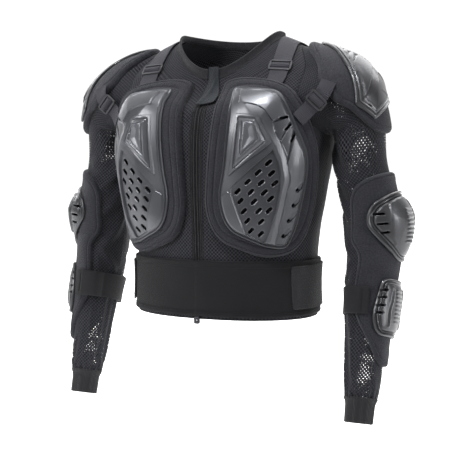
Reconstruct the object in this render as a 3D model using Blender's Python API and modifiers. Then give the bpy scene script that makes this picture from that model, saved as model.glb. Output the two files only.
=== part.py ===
"""Motocross body armour jacket: mesh jacket with padded chest, shoulder, elbow and forearm armour.

Metres, +Z up. The wearer faces -Y and their left side is +X. The origin is the middle of the
neck at the height of the shoulder seams, where the wearer's shoulders carry the jacket.
"""

import math

import bmesh
import bpy
import numpy as np
from mathutils import Matrix

# Cloth body
TORSO_LENGTH = 0.460  # hem to the neck end of the shoulder seam
CHEST_WIDTH = 0.366
CHEST_DEPTH = 0.232
NECK_DROP = 0.068  # front of the neckline below its sides
CLOTH = 0.002  # wall of the mesh cloth
SEAT = 0.0009  # rise of a cloth piece over the cloth it lies on
SEAM_GAP = 0.0004  # between a pad and the cloth under it
PANEL_GAP = 0.0006  # from a seam's line to the edge of each panel
CHEST_PLATE_SEAT = 0.0009  # rise of a plate's foot over the pad it is moulded to
SHOULDER_PLATE_SEAT = 0.00054
ARM_PLATE_SEAT = 0.00126
SIDE_STRAP_SEATS = (0.0018, 0.0025)  # rise of its ends over the chest and shoulder pads
STRAP_SEAT = 0.0024  # rise of webbing, which is flat across, over curved cloth
SUNK = 0.004  # how far pads reach into the body before its form is cut from them

# Sleeves
SLEEVE_LENGTH = 0.617  # along the outer side, seam to cuff
SLEEVE_SEAM = 0.651  # share of the sleeve's length to its seam at the elbow
ARM_WIDTH = 0.088
CUFF_LENGTH = 0.037
CUFF_WIDTH = 0.048
CUFF_WALL = 0.003

# Collar, zipper and tab
BINDING_HEIGHT = 0.010
BINDING_WALL = 0.004
ZIP_WIDTH = 0.024
ZIP_WALL = 0.003
ZIP_STOP = (0.010, 0.004, 0.012)
TAB_WIDTH = 0.032
TAB_LENGTH = 0.060
TAB_WALL = 0.002

# Waist
BELT_HEIGHT = 0.090
BELT_ABOVE_HEM = 0.005
BELT_WALL = 0.0035
BELT_TAB_WIDTH = 0.120
BELT_TAB_HEIGHT = 0.072
BELT_TAB_START = 0.180  # round the waist from the front centre
BELT_TAB_WALL = 0.003

# Chest armour
CHEST_PAD_WIDTH = 0.200
CHEST_PAD_HEIGHT = 0.290
CHEST_PAD_THICKNESS = 0.012
CHEST_PAD_TOP = -0.071  # height of the pad's top edge
CHEST_PAD_FROM_ZIP = 0.018  # centre line to the pad's inner edge
CHEST_PLATE_WIDTH = 0.142
CHEST_PLATE_HEIGHT = 0.247
CHEST_PLATE_RISE = 0.014
PLATE_WALL = 0.003
SLOT_LENGTH = 0.0125
SLOT_WIDTH = 0.0060
SLOT_TURN = 48.0  # degrees up towards the outer side
ARM_SLOT_WIDTH = 0.0030

# Shoulder, elbow and forearm armour
SHOULDER_PAD_WIDTH = 0.136
SHOULDER_PAD_LENGTH = 0.196
SHOULDER_PAD_THICKNESS = 0.010
SHOULDER_PAD_DOWN = 0.010  # from the sleeve's seam to the pad's top edge
SHOULDER_PLATE_WIDTH = 0.098
SHOULDER_PLATE_LENGTH = 0.162
SHOULDER_PLATE_RISE = 0.009
SHOULDER_PLATE_BELOW = 0.006  # from the pad's top edge to the plate's
SHOULDER_PLATE_TURN = -0.004  # round the sleeve, to the back
ELBOW_PAD_WIDTH = 0.180
ELBOW_PAD_LENGTH = 0.312
ELBOW_PAD_THICKNESS = 0.008
ELBOW_PAD_DOWN = 0.405  # share of the sleeve's length to the pad's top edge
ELBOW_CUP_WIDTH = 0.130
ELBOW_CUP_LENGTH = 0.108
ELBOW_CUP_RISE = 0.016
ELBOW_CUP_BELOW = 0.039  # from the pad's top edge to the cup's
ELBOW_CUP_TURN = -0.002  # round the sleeve, to the back
FOREARM_PLATE_WIDTH = 0.094
FOREARM_PLATE_LENGTH = 0.090
FOREARM_PLATE_RISE = 0.007
FOREARM_PLATE_BELOW = 0.028  # from the cup's lower edge to the plate's top edge

# Back pad
BACK_PAD_WIDTH = 0.240
BACK_PAD_HEIGHT = 0.300
BACK_PAD_THICKNESS = 0.012
BACK_PAD_TOP = -0.050

# Webbing
STRAP_WIDTH = 0.030
STRAP_WALL = 0.0015
SIDE_STRAP_WIDTH = 0.024
BUCKLE_BAR = 0.0028
BUCKLE_WALL = 0.002
BUCKLE_LENGTH = 0.021
SHOULDER_BUCKLE = 0.22  # share of the strap's length
SIDE_BUCKLE = 0.55
ARM_STRAP_WIDTH = 0.044
ARM_STRAP_BELOW = 0.037  # from the forearm plate's top edge to the strap's middle
ARM_STRAP_WALL = 0.002
ARM_STRAP_TURNS = (2.7, 3, 4, 4.6, 5.1, 6, 7)  # sleeve columns from its outer side, end to middle

# Sections of the torso. Up is a share of the torso's length; width and depth are shares of the
# chest's; centre is a share of the chest's depth, to the back; drops are shares of the neck's.
TORSO_ROWS = (
    # up, width, depth, centre, front drop, back drop, squareness
    (0.00, 0.865, 0.940, 0.00, 0.00, 0.00, 2.2),
    (0.12, 0.855, 0.920, 0.00, 0.00, 0.00, 2.2),
    (0.30, 0.890, 0.940, 0.00, 0.00, 0.00, 2.2),
    (0.48, 0.960, 0.980, 0.00, 0.00, 0.00, 2.3),
    (0.64, 1.010, 0.990, 0.01, 0.00, 0.00, 2.5),
    (0.76, 1.010, 0.950, 0.03, 0.25, 0.06, 2.8),
    (0.86, 0.980, 0.890, 0.06, 0.72, 0.20, 2.9),
    (0.93, 0.860, 0.800, 0.09, 0.96, 0.30, 2.7),
    (0.98, 0.620, 0.720, 0.10, 1.04, 0.24, 2.4),
    (1.00, 0.490, 0.670, 0.09, 1.00, 0.12, 2.1),
)
ARMHOLE_LOW, ARMHOLE_HIGH = 0.645, 0.965  # shares of the torso's length
ARMHOLE_SPREAD = 41.0  # degrees to each side of the side seam

# Rings of the sleeve. Along is a share of the sleeve's length; out, back and down are shares of
# that length, from the armpit; half sizes are shares of the arm's width; tilt turns a ring
# from facing outwards to facing down, and lean turns it to the front, in degrees.
SLEEVE_ROWS = (
    # along, out, back, down, tilt, lean, half out, half fore and aft
    (0.000, -0.045, 0.014, -0.124, -20, 0, 0.900, 0.820),
    (0.063, -0.006, 0.014, -0.113, -5, 0, 0.780, 0.820),
    (0.135, 0.030, 0.014, -0.095, 15, 0, 0.660, 0.800),
    (0.206, 0.056, 0.014, -0.067, 38, 0, 0.560, 0.740),
    (0.270, 0.069, 0.014, -0.036, 62, 0, 0.490, 0.660),
    (0.315, 0.075, 0.014, -0.013, 80, 0, 0.470, 0.580),
    (0.371, 0.077, 0.017, 0.060, 83, 0, 0.480, 0.540),
    (0.461, 0.093, 0.022, 0.148, 83, 0, 0.480, 0.530),
    (0.551, 0.108, 0.026, 0.237, 84, 0, 0.480, 0.545),
    (0.655, 0.110, 0.014, 0.342, 87, 9, 0.440, 0.530),
    (0.770, 0.112, -0.016, 0.455, 89, 14, 0.400, 0.460),
    (0.886, 0.115, -0.046, 0.568, 89, 14, 0.345, 0.380),
    (0.960, 0.116, -0.066, 0.640, 89, 14, 0.320, 0.340),
    (1.000, 0.116, -0.076, 0.677, 89, 14, 0.280, 0.285),
)
SLEEVE_COLUMNS = 14
ARMHOLE_BLEND = 0.30  # share of the sleeve over which its rings take up the armhole's shape

CLOTH_GREY = (0.018, 0.018, 0.021)
PAD_GREY = (0.035, 0.035, 0.040)
STRAP_GREY = (0.055, 0.055, 0.062)
PLATE_GREY = (0.150, 0.152, 0.160)
BELT_BLACK = (0.012, 0.012, 0.014)
MIRROR_X = Matrix.Scale(-1, 4, (1, 0, 0))


def smooth(table, at):
    """The table's columns at places along its first column, on a smooth curve through its rows."""
    table = np.asarray(table, float)
    x, y = table[:, 0], table[:, 1:]
    slope = np.gradient(y, x, axis=0)
    at = np.clip(np.asarray(at, float), x[0], x[-1])
    i = np.clip(np.searchsorted(x, at, side="right") - 1, 0, len(x) - 2)
    step = x[i + 1] - x[i]
    f = ((at - x[i]) / step)[..., None]
    step = step[..., None]
    start = (2 * f**3 - 3 * f**2 + 1) * y[i] + (f**3 - 2 * f**2 + f) * step * slope[i]
    end = (3 * f**2 - 2 * f**3) * y[i + 1] + (f**3 - f**2) * step * slope[i + 1]
    return np.moveaxis(start + end, -1, 0)


def torso_point(angle, up):
    """Outer surface of the torso: degrees from the front centre to the wearer's left, and share up."""
    angle, up = np.broadcast_arrays(np.asarray(angle, float), np.asarray(up, float))
    width, depth, centre, front_drop, back_drop, square = smooth(TORSO_ROWS, up)
    s, c = np.sin(np.radians(angle)), np.cos(np.radians(angle))
    reach = (np.abs(s) ** square + np.abs(c) ** square) ** (-1 / square)
    x = CHEST_WIDTH / 2 * width * reach * s
    y = CHEST_DEPTH * (centre - depth / 2 * reach * c)
    sag = front_drop * np.maximum(c, 0) ** 2 + back_drop * np.maximum(-c, 0) ** 2
    z = TORSO_LENGTH * (up - 1) - NECK_DROP * sag
    return np.stack([x, y, z], axis=-1)


def chest_angle(across):
    """Angle of a point that lies this far round the chest from the front centre."""
    angles = np.arange(-180.0, 181.0)
    line = torso_point(angles, ARMHOLE_LOW)
    steps = np.linalg.norm(np.diff(line, axis=0), axis=1)
    lengths = np.concatenate([[0], np.cumsum(steps)])
    return np.interp(across, lengths - np.interp(0, angles, lengths), angles)


def torso_spot(across, height):
    """Surface point this far round the chest and at this height, on the front half."""
    return spot_at(chest_angle(across), height)


def back_spot(across, height):
    """Surface point this far round from the middle of the back, to the wearer's right."""
    return spot_at(180 + chest_angle(across), height)


def spot_at(angle, height):
    low, high = np.zeros_like(angle), np.ones_like(angle)
    for _ in range(24):
        middle = (low + high) / 2
        above = torso_point(angle, middle)[..., 2] > height
        low, high = np.where(above, low, middle), np.where(above, middle, high)
    return torso_point(angle, (low + high) / 2)


def lifted(surface, a, b, lift):
    """Points of surface(a, b) raised along its normal, which is da x db."""
    step = 1e-3
    a, b = np.broadcast_arrays(np.asarray(a, float), np.asarray(b, float))
    here = surface(a, b)
    da = surface(a + step, b) - surface(a - step, b)
    db = surface(a, b + step) - surface(a, b - step)
    normal = np.cross(da, db)
    normal /= np.linalg.norm(normal, axis=-1, keepdims=True)
    return here + normal * np.asarray(lift, float)[..., None]


def on_torso(across, height, lift):
    return lifted(torso_spot, across, height, lift)


def on_back(across, height, lift):
    return lifted(back_spot, across, height, lift)


def armhole_point(around):
    """The left armhole's edge, by degrees from the shoulder round to the front."""
    turn = np.radians(around)
    middle, half = (ARMHOLE_LOW + ARMHOLE_HIGH) / 2, (ARMHOLE_HIGH - ARMHOLE_LOW) / 2
    return torso_point(90 - ARMHOLE_SPREAD * np.sin(turn), middle + half * np.cos(turn))


def sleeve_ring(along, around):
    """Outer surface of the left sleeve before it takes up the armhole's shape."""
    out, back, down, tilt, lean, half_out, half_fore = smooth(SLEEVE_ROWS, along)
    armpit = torso_point(90.0, ARMHOLE_LOW)
    centre = armpit + SLEEVE_LENGTH * np.stack([out, back, -down], axis=-1)
    tilt, lean, turn = np.radians(tilt), np.radians(lean), np.radians(around)
    outer = np.stack([np.sin(tilt), np.zeros_like(tilt), np.cos(tilt)], axis=-1)
    front = np.stack([np.zeros_like(lean), -np.cos(lean), np.sin(lean)], axis=-1)
    away = (half_out * np.cos(turn))[..., None] * outer
    away = away + (half_fore * np.sin(turn))[..., None] * front
    return centre + ARM_WIDTH * away


def sleeve_point(along, around):
    """Outer surface of the left sleeve: share along it, and degrees from its outer side to the front."""
    along, around = np.broadcast_arrays(np.asarray(along, float), np.asarray(around, float))
    start = armhole_point(around) - sleeve_ring(np.zeros_like(along), around)
    fade = np.clip(1 - along / ARMHOLE_BLEND, 0, 1)[..., None] ** 2
    return sleeve_ring(along, around) + start * fade


def sleeve_spot(across, down):
    """Left sleeve's surface by metres: round it from its outer side to the front, and down it."""
    return sleeve_point(down / SLEEVE_LENGTH, np.degrees(across / (ARM_WIDTH / 2)))


def on_sleeve(across, down, lift):
    return lifted(sleeve_spot, across, down, lift)


def finish(name, mesh, colour, roughness=0.8, metallic=0.0):
    """Links an object and gives it its own material."""
    piece = bpy.data.objects.new(name, mesh)
    bpy.data.collections["armour_jacket"].objects.link(piece)
    material = bpy.data.materials.new(name + "_finish")
    material.use_nodes = True
    shader = material.node_tree.nodes["Principled BSDF"]
    shader.inputs["Base Color"].default_value = (*colour, 1)
    shader.inputs["Roughness"].default_value = roughness
    shader.inputs["Metallic"].default_value = metallic
    mesh.materials.append(material)
    return piece


def mirrored(piece, name):
    """The wearer's right-hand copy of a left-hand piece, with its modifiers."""
    copy = piece.copy()
    copy.data = piece.data.copy()
    copy.name = name
    copy.data.name = name
    copy.data.transform(MIRROR_X)
    copy.data.flip_normals()
    piece.users_collection[0].objects.link(copy)
    for modifier in copy.modifiers:
        if modifier.type == "BOOLEAN":
            other = modifier.object.name.replace("_left", "_right")
            modifier.object = bpy.data.objects.get(other) or mirrored(modifier.object, other)
    return copy


def smooth_shaded(mesh, crease=35):
    mesh.shade_smooth()
    mesh.set_sharp_from_angle(angle=math.radians(crease))


def mesh_from_rows(name, rows, closed=False):
    """An open surface through rows of points; closed joins each row's last point to its first."""
    build = bmesh.new()
    lines = [[build.verts.new(p) for p in row] for row in rows]
    count = len(lines[0])
    for low, high in zip(lines, lines[1:]):
        for i in range(count if closed else count - 1):
            j = (i + 1) % count
            build.faces.new((low[i], low[j], high[j]))
            build.faces.new((low[i], high[j], high[i]))
    mesh = bpy.data.meshes.new(name)
    build.to_mesh(mesh)
    build.free()
    return mesh


def sheet(name, rows, wall, colour, closed=False, roughness=0.8):
    """A cloth wall: Solidify grows it inwards from the surface, or outwards if wall is negative."""
    mesh = mesh_from_rows(name, rows, closed)
    smooth_shaded(mesh)
    piece = finish(name, mesh, colour, roughness)
    wall_modifier = piece.modifiers.new("wall", "SOLIDIFY")
    wall_modifier.thickness = abs(wall)
    wall_modifier.offset = -1 if wall > 0 else 1
    return piece


def loft(name, rings, colour, roughness=0.8, metallic=0.0):
    mesh = ring_solid(name, rings)
    smooth_shaded(mesh)
    return finish(name, mesh, colour, roughness, metallic)


def ring_solid(name, rings):
    """A closed solid through closed rings of as many points each, with both ends capped."""
    build = bmesh.new()
    layers = [[build.verts.new(p) for p in ring] for ring in rings]
    count = len(layers[0])
    for low, high in zip(layers, layers[1:]):
        for i in range(count):
            j = (i + 1) % count
            build.faces.new((low[i], low[j], high[j], high[i]))
    build.faces.new(layers[0])
    build.faces.new(layers[-1])
    bmesh.ops.recalc_face_normals(build, faces=build.faces)
    mesh = bpy.data.meshes.new(name)
    build.to_mesh(mesh)
    build.free()
    return mesh


def rounded_outline(corners, count):
    """A closed outline of count points, evenly spaced, round corners of (x, y, radius)."""
    corners = np.asarray(corners, float)
    points = []
    for before, here, after in zip(np.roll(corners, 1, 0), corners, np.roll(corners, -1, 0)):
        one, two = before[:2] - here[:2], after[:2] - here[:2]
        near = min(here[2], 0.49 * np.linalg.norm(one), 0.49 * np.linalg.norm(two))
        start = here[:2] + one / np.linalg.norm(one) * near
        end = here[:2] + two / np.linalg.norm(two) * near
        for f in np.linspace(0, 1, 7):
            points.append((1 - f) ** 2 * start + 2 * f * (1 - f) * here[:2] + f**2 * end)
    points = np.array(points + points[:1])
    lengths = np.concatenate([[0], np.cumsum(np.linalg.norm(np.diff(points, axis=0), axis=1))])
    at = np.linspace(0, lengths[-1], count, endpoint=False)
    return np.stack([np.interp(at, lengths, points[:, k]) for k in range(2)], axis=1)


def towards_centre(outline, share):
    """The outline shrunk about its middle by a share, 0 for all of it and 1 for its middle."""
    centre = (outline.max(0) + outline.min(0)) / 2
    return outline + (centre - outline) * share


def domed_rings(outline, place, under, over):
    """Rings of a pad or plate: under and over are rows of (share towards the middle, lift)."""
    rings = []
    for share, lift in [*reversed(under), *over]:
        ring = towards_centre(outline, share)
        rings.append(place(ring[:, 0], ring[:, 1], np.full(len(ring), lift)))
    return rings


def corners_in(box, shares):
    """Corners of an outline inside a box of (left, top, width, height).

    Shares are rows of (across, down, radius), of the box's width, height and width.
    """
    left, top, width, height = box
    return [(left + a * width, top - b * height, r * width) for a, b, r in shares]


CHEST_PAD_CORNERS = (
    (0.08, 0.03, 0.16),
    (0.37, 0.00, 0.25),
    (0.62, 0.05, 0.14),
    (0.74, 0.14, 0.20),
    (0.97, 0.42, 0.25),
    (1.00, 0.76, 0.30),
    (0.88, 0.96, 0.22),
    (0.58, 1.00, 0.25),
    (0.12, 0.90, 0.25),
    (0.00, 0.74, 0.30),
    (0.03, 0.40, 0.40),
)
CHEST_PLATE_CORNERS = (
    (0.10, 0.00, 0.10),
    (0.62, 0.02, 0.10),
    (0.98, 0.40, 0.20),
    (1.00, 0.56, 0.20),
    (0.96, 0.86, 0.20),
    (0.86, 1.00, 0.08),
    (0.62, 0.99, 0.20),
    (0.12, 0.88, 0.20),
    (0.00, 0.68, 0.20),
    (0.06, 0.50, 0.30),
    (0.09, 0.20, 0.30),
)
# Centres of the holes, as shares of the chest plate's width and height from its inner top corner
CHEST_SLOTS = (
    (0.562, 0.441), (0.465, 0.502), (0.602, 0.506), (0.362, 0.563), (0.504, 0.566),
    (0.645, 0.568), (0.256, 0.623), (0.403, 0.625), (0.545, 0.626), (0.293, 0.682),
    (0.442, 0.684), (0.616, 0.664), (0.337, 0.745), (0.500, 0.741), (0.612, 0.737),
    (0.380, 0.808), (0.537, 0.812), (0.427, 0.874), (0.544, 0.894),
)
CHEST_VENTS = ((0.665, 0.170, 15), (0.714, 0.225, 48), (0.776, 0.292, 70))
CHEST_SCOOPS = ((0.895, 0.613, 48), (0.873, 0.709, 48), (0.840, 0.807, 48), (0.800, 0.909, 48))
SHOULDER_PAD_CORNERS = (
    (0.20, 0.10, 0.20),
    (0.42, 0.00, 0.12),
    (0.62, 0.00, 0.12),
    (0.88, 0.16, 0.10),
    (1.00, 0.50, 0.16),
    (0.78, 0.98, 0.20),
    (0.30, 1.00, 0.20),
    (0.04, 0.55, 0.20),
)
SHOULDER_PLATE_CORNERS = (
    (0.26, 0.12, 0.14),
    (0.46, 0.00, 0.10),
    (0.80, 0.36, 0.08),
    (0.84, 0.48, 0.08),
    (1.00, 0.76, 0.10),
    (0.84, 0.98, 0.14),
    (0.36, 1.00, 0.14),
    (0.04, 0.72, 0.14),
    (0.10, 0.40, 0.20),
)
ELBOW_PAD_CORNERS = (
    (0.10, 0.08, 0.20),
    (0.50, 0.00, 0.20),
    (0.93, 0.06, 0.20),
    (1.00, 0.36, 0.20),
    (0.88, 0.44, 0.12),
    (0.92, 0.66, 0.20),
    (0.60, 1.00, 0.12),
    (0.40, 1.00, 0.12),
    (0.08, 0.66, 0.20),
    (0.12, 0.44, 0.12),
    (0.00, 0.36, 0.20),
)
ELBOW_CUP_CORNERS = (
    (0.34, 0.00, 0.14),
    (0.66, 0.00, 0.14),
    (0.92, 0.14, 0.14),
    (1.00, 0.42, 0.14),
    (0.84, 0.72, 0.14),
    (0.60, 1.00, 0.10),
    (0.40, 1.00, 0.10),
    (0.16, 0.72, 0.14),
    (0.00, 0.42, 0.14),
    (0.08, 0.14, 0.14),
)
FOREARM_PLATE_CORNERS = (
    (0.14, 0.02, 0.12),
    (0.88, 0.00, 0.12),
    (1.00, 0.70, 0.14),
    (0.90, 1.00, 0.14),
    (0.10, 1.00, 0.14),
    (0.00, 0.70, 0.14),
)
# Slots in the arm plates: centres as shares of the plate's box, and length as a share of its width
ELBOW_SLOTS = ((0.80, 0.36, 0.13), (0.77, 0.47, 0.11), (0.74, 0.57, 0.09))
FOREARM_SLOTS = ((0.76, 0.20, 0.16), (0.79, 0.37, 0.16), (0.80, 0.53, 0.15), (0.80, 0.70, 0.14))
BACK_PAD_CORNERS = (
    (0.22, 0.00, 0.20),
    (0.78, 0.00, 0.20),
    (1.00, 0.22, 0.25),
    (0.90, 1.00, 0.16),
    (0.10, 1.00, 0.16),
    (0.00, 0.22, 0.25),
)
# Paths of straps on the torso: degrees from the front, and share up
SHOULDER_STRAP_PATH = (
    (33.0, 0.870), (38.5, 0.905), (45.0, 0.938), (56.0, 0.963), (72.0, 0.978), (90.0, 0.983),
    (108.0, 0.979), (124.0, 0.964), (136.0, 0.937), (143.0, 0.905), (147.0, 0.872),
)
# Side strap's path: across and height, two places on the chest pad and two on the shoulder pad
SIDE_STRAP_PATH = ((0.160, -0.140), (0.172, -0.126), (0.061, -0.070), (0.052, -0.070))


def body_rows():
    """Shares up of the torso panels' rows, and each row's degrees from the side seam to a panel."""
    turns = np.linspace(180, 0, SLEEVE_COLUMNS // 2 + 1)
    middle, half = (ARMHOLE_LOW + ARMHOLE_HIGH) / 2, (ARMHOLE_HIGH - ARMHOLE_LOW) / 2
    below = np.linspace(0, ARMHOLE_LOW, 6)[:-1]
    ups = [*below, *(middle + half * np.cos(np.radians(turns))), 1.0]
    spreads = [0.0] * len(below) + [ARMHOLE_SPREAD * math.sin(math.radians(t)) for t in turns] + [0.0]
    gaps = np.degrees(PANEL_GAP / (CHEST_DEPTH / 2 * smooth(TORSO_ROWS, ups)[1]))
    return ups, np.array(spreads) + gaps


def front_angles(spread):
    zip_angle = float(chest_angle(ZIP_WIDTH / 2 + SEAM_GAP))
    return np.linspace(zip_angle, 90 - spread, 7)


def back_angles(spread):
    return np.linspace(90 + spread, 270 - spread, 12)


def build_body():
    """Front and back panels of mesh cloth, with the armholes and the zipper's opening left free."""
    ups, spreads = body_rows()
    front = [torso_point(front_angles(s), up) for up, s in zip(ups, spreads)]
    back = [torso_point(back_angles(s), up) for up, s in zip(ups, spreads)]
    front = sheet("body_front_left", front, CLOTH, CLOTH_GREY)
    mirrored(front, "body_front_right")
    sheet("body_back", back, CLOTH, CLOTH_GREY)


def sleeve_rows(lift):
    """Rings of the upper and of the lower sleeve, from the armhole down, raised off them by a lift."""
    turns = np.linspace(0, 360, SLEEVE_COLUMNS, endpoint=False)
    across = np.radians(turns) * ARM_WIDTH / 2
    gap = PANEL_GAP / SLEEVE_LENGTH
    upper = [gap, *np.linspace(0.060, 0.310, 4), *np.linspace(0.390, SLEEVE_SEAM - gap / 2, 4)]
    lower = np.linspace(SLEEVE_SEAM + gap / 2, 1, 5)
    rings = lambda alongs: [on_sleeve(across, along * SLEEVE_LENGTH, lift) for along in alongs]
    rows = rings(upper)
    rows[0] = rows[0] + (2 * PANEL_GAP, 0, 0)
    return rows, rings(lower)


def build_sleeves():
    for name, rows in zip(("upper_sleeve", "lower_sleeve"), sleeve_rows(0.0)):
        sleeve = sheet(name + "_left", rows, CLOTH, CLOTH_GREY, closed=True)
        mirrored(sleeve, name + "_right")


def build_forms():
    """Closed forms of the body and sleeve, a gap larger than the cloth: they shape the pads' backs."""
    ups, spreads = body_rows()
    rows = []
    for up, spread in zip(ups, spreads):
        front, back = front_angles(spread), back_angles(spread)
        angles = np.concatenate([front, back, 360 - front[::-1], [360]])
        rows.append(lifted(torso_point, angles, up, SEAM_GAP))
    closed_form("body_form_left", rows)
    upper, lower = sleeve_rows(SEAM_GAP)
    closed_form("sleeve_form_left", [upper[0] - (3 * SUNK, 0, 0), *upper, *lower])


def closed_form(name, rows):
    """A cutter through closed rows of points, with each end drawn to its middle."""
    mesh = mesh_from_rows(name, rows, closed=True)
    build = bmesh.new()
    build.from_mesh(mesh)
    verts, count = list(build.verts), len(rows[0])
    for ring in (verts[:count], verts[-count:]):
        hub = build.verts.new(np.mean([v.co for v in ring], axis=0))
        for i in range(count):
            build.faces.new((ring[i], ring[(i + 1) % count], hub))
    bmesh.ops.recalc_face_normals(build, faces=build.faces)
    build.to_mesh(mesh)
    build.free()
    return make_cutter(name, mesh)


def make_cutter(name, mesh):
    cutter = bpy.data.objects.new(name, mesh)
    cutter.hide_render = True
    cutter.display_type = "WIRE"
    bpy.data.collections["cutters"].objects.link(cutter)
    return cutter


def cut(piece, cutter):
    modifier = piece.modifiers.new(cutter.name, "BOOLEAN")
    modifier.operation, modifier.solver, modifier.object = "DIFFERENCE", "EXACT", cutter


def seat(piece, *forms):
    """Gives a pad's back the body's own shape."""
    for form in forms:
        cut(piece, bpy.data.objects[form])


def build_cuffs():
    """Knitted cuffs that carry on from the sleeves' ends."""
    turns = np.linspace(0, 360, SLEEVE_COLUMNS, endpoint=False)
    end, before = sleeve_point(1.0, turns), sleeve_point(0.985, turns)
    centre = end.mean(0)
    way = centre - before.mean(0)
    way /= np.linalg.norm(way)
    spokes = end - centre
    spokes -= np.outer(spokes @ way, way)
    spokes /= np.linalg.norm(spokes, axis=1, keepdims=True)
    rows = []
    for down, width in ((0.0, 1.04), (0.25, 0.98), (1.0, 0.94)):
        middle = centre + way * (SEAM_GAP * 3 + down * CUFF_LENGTH)
        rows.append(middle + spokes * CUFF_WIDTH / 2 * width)
    cuff = sheet("cuff_left", rows, CUFF_WALL, PAD_GREY, closed=True)
    mirrored(cuff, "cuff_right")


def build_collar():
    """Bound edge that stands round the neckline and is open at the zipper."""
    zip_angle = float(chest_angle(ZIP_WIDTH / 2 + SEAM_GAP))
    rings = []
    for angle in np.linspace(zip_angle, 360 - zip_angle, 27):
        edge = torso_point(angle, 1.0)
        outward = (torso_point(angle, 0.985) - edge) * (1, 1, 0)
        outward /= np.linalg.norm(outward)
        low, high, wall = SEAM_GAP * 2, BINDING_HEIGHT, BINDING_WALL
        section = ((0.0, low), (0.0, high), (-wall / 2, high + wall / 3), (-wall, high), (-wall, low))
        rings.append([edge + outward * across + np.array([0, 0, up]) for across, up in section])
    loft("collar_binding", rings, PAD_GREY)


def build_zipper():
    """The zipper's strip, its stop at the hem, and the cloth tab over its top."""
    edge = float(chest_angle(ZIP_WIDTH / 2))
    rows = [torso_point(np.linspace(-edge, edge, 3), up) for up in body_rows()[0]]
    sheet("zipper_strip", rows, ZIP_WALL, CLOTH_GREY)

    width, depth, height = ZIP_STOP
    x, z = width / 2, height / 2
    front = torso_point(0.0, 0.0)
    rings = []
    for y in (-SEAM_GAP, -depth):
        at = front + np.array([0, y, BELT_ABOVE_HEM - SEAT - z])
        rings.append([at + np.array(c) for c in ((-x, 0, -z), (x, 0, -z), (x, 0, z), (-x, 0, z))])
    loft("zipper_stop", rings, PLATE_GREY, 0.35, 1.0)


def build_tab():
    """Cloth tab that folds over the collar and lies on the zipper's top end."""
    front = torso_point(0.0, 1.0)
    top = front[2] + BINDING_HEIGHT + BINDING_WALL / 2
    middle = 0.2 * TAB_WIDTH
    path = [(middle, top - share * TAB_LENGTH) for share in np.linspace(0.03, 1.03, 8)]
    rows = []
    for across, height in path:
        low = min(height, front[2] - 0.004)
        base = on_torso(np.linspace(across - TAB_WIDTH / 2, across + TAB_WIDTH / 2, 3), low, SEAT)
        rows.append(base + (0, 0, height - low))
    sheet("collar_tab", rows[::-1], -TAB_WALL, PAD_GREY)


def build_belt():
    """Elastic waist belt and its closing tabs at the sides."""
    low = BELT_ABOVE_HEM / TORSO_LENGTH
    high = low + BELT_HEIGHT / TORSO_LENGTH
    front, back = front_angles(0.0), back_angles(0.0)
    angles = np.concatenate([[0], front, back[1:-1], 360 - front[::-1]])
    around = lambda up: lifted(torso_point, angles, up, SEAT)
    sheet("waist_belt", [around(up) for up in np.linspace(low, high, 3)], -BELT_WALL, BELT_BLACK, closed=True)

    middle = BELT_ABOVE_HEM + 0.52 * BELT_HEIGHT - TORSO_LENGTH
    heights = middle + np.linspace(-0.5, 0.5, 3) * BELT_TAB_HEIGHT
    across = BELT_TAB_START + np.linspace(0, 1, 7) * BELT_TAB_WIDTH
    rows = [on_torso(across, np.full(7, h), STRAP_SEAT + BELT_WALL) for h in heights]
    tab = sheet("belt_tab_left", rows, -BELT_TAB_WALL, BELT_BLACK)
    mirrored(tab, "belt_tab_right")


def patch(name, place, box, corners, count, foot, under, over, *look):
    """A pad or plate on a surface; under and over are rows of (share to the middle, lift from foot)."""
    outline = rounded_outline(corners_in(box, corners), count)
    rows = [(share, foot + lift) for share, lift in under]
    return loft(name, domed_rings(outline, place, rows, [(s, foot + lift) for s, lift in over]), *look)


def pad_profile(thickness):
    under = ((0.0, -SUNK), (0.60, -SUNK))
    edge = 0.55 * thickness
    over = ((0.0, edge), (0.05, thickness), (0.35, thickness), (0.70, thickness))
    return under, over


def plate_profile(rise, wall):
    shape = ((0.0, 0.0), (0.08, 0.15), (0.24, 0.95), (0.62, 1.0))
    under = [(share, up * (rise - wall)) for share, up in shape if share != 0.08]
    over = [(share, up * (rise - wall) + wall) for share, up in shape]
    return under, over


def chest_box(width, height):
    """Box of a chest piece that keeps the pad's rim round it even."""
    left = CHEST_PAD_FROM_ZIP + 0.47 * (CHEST_PAD_WIDTH - width)
    return left, CHEST_PAD_TOP - 0.58 * (CHEST_PAD_HEIGHT - height), width, height


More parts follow.
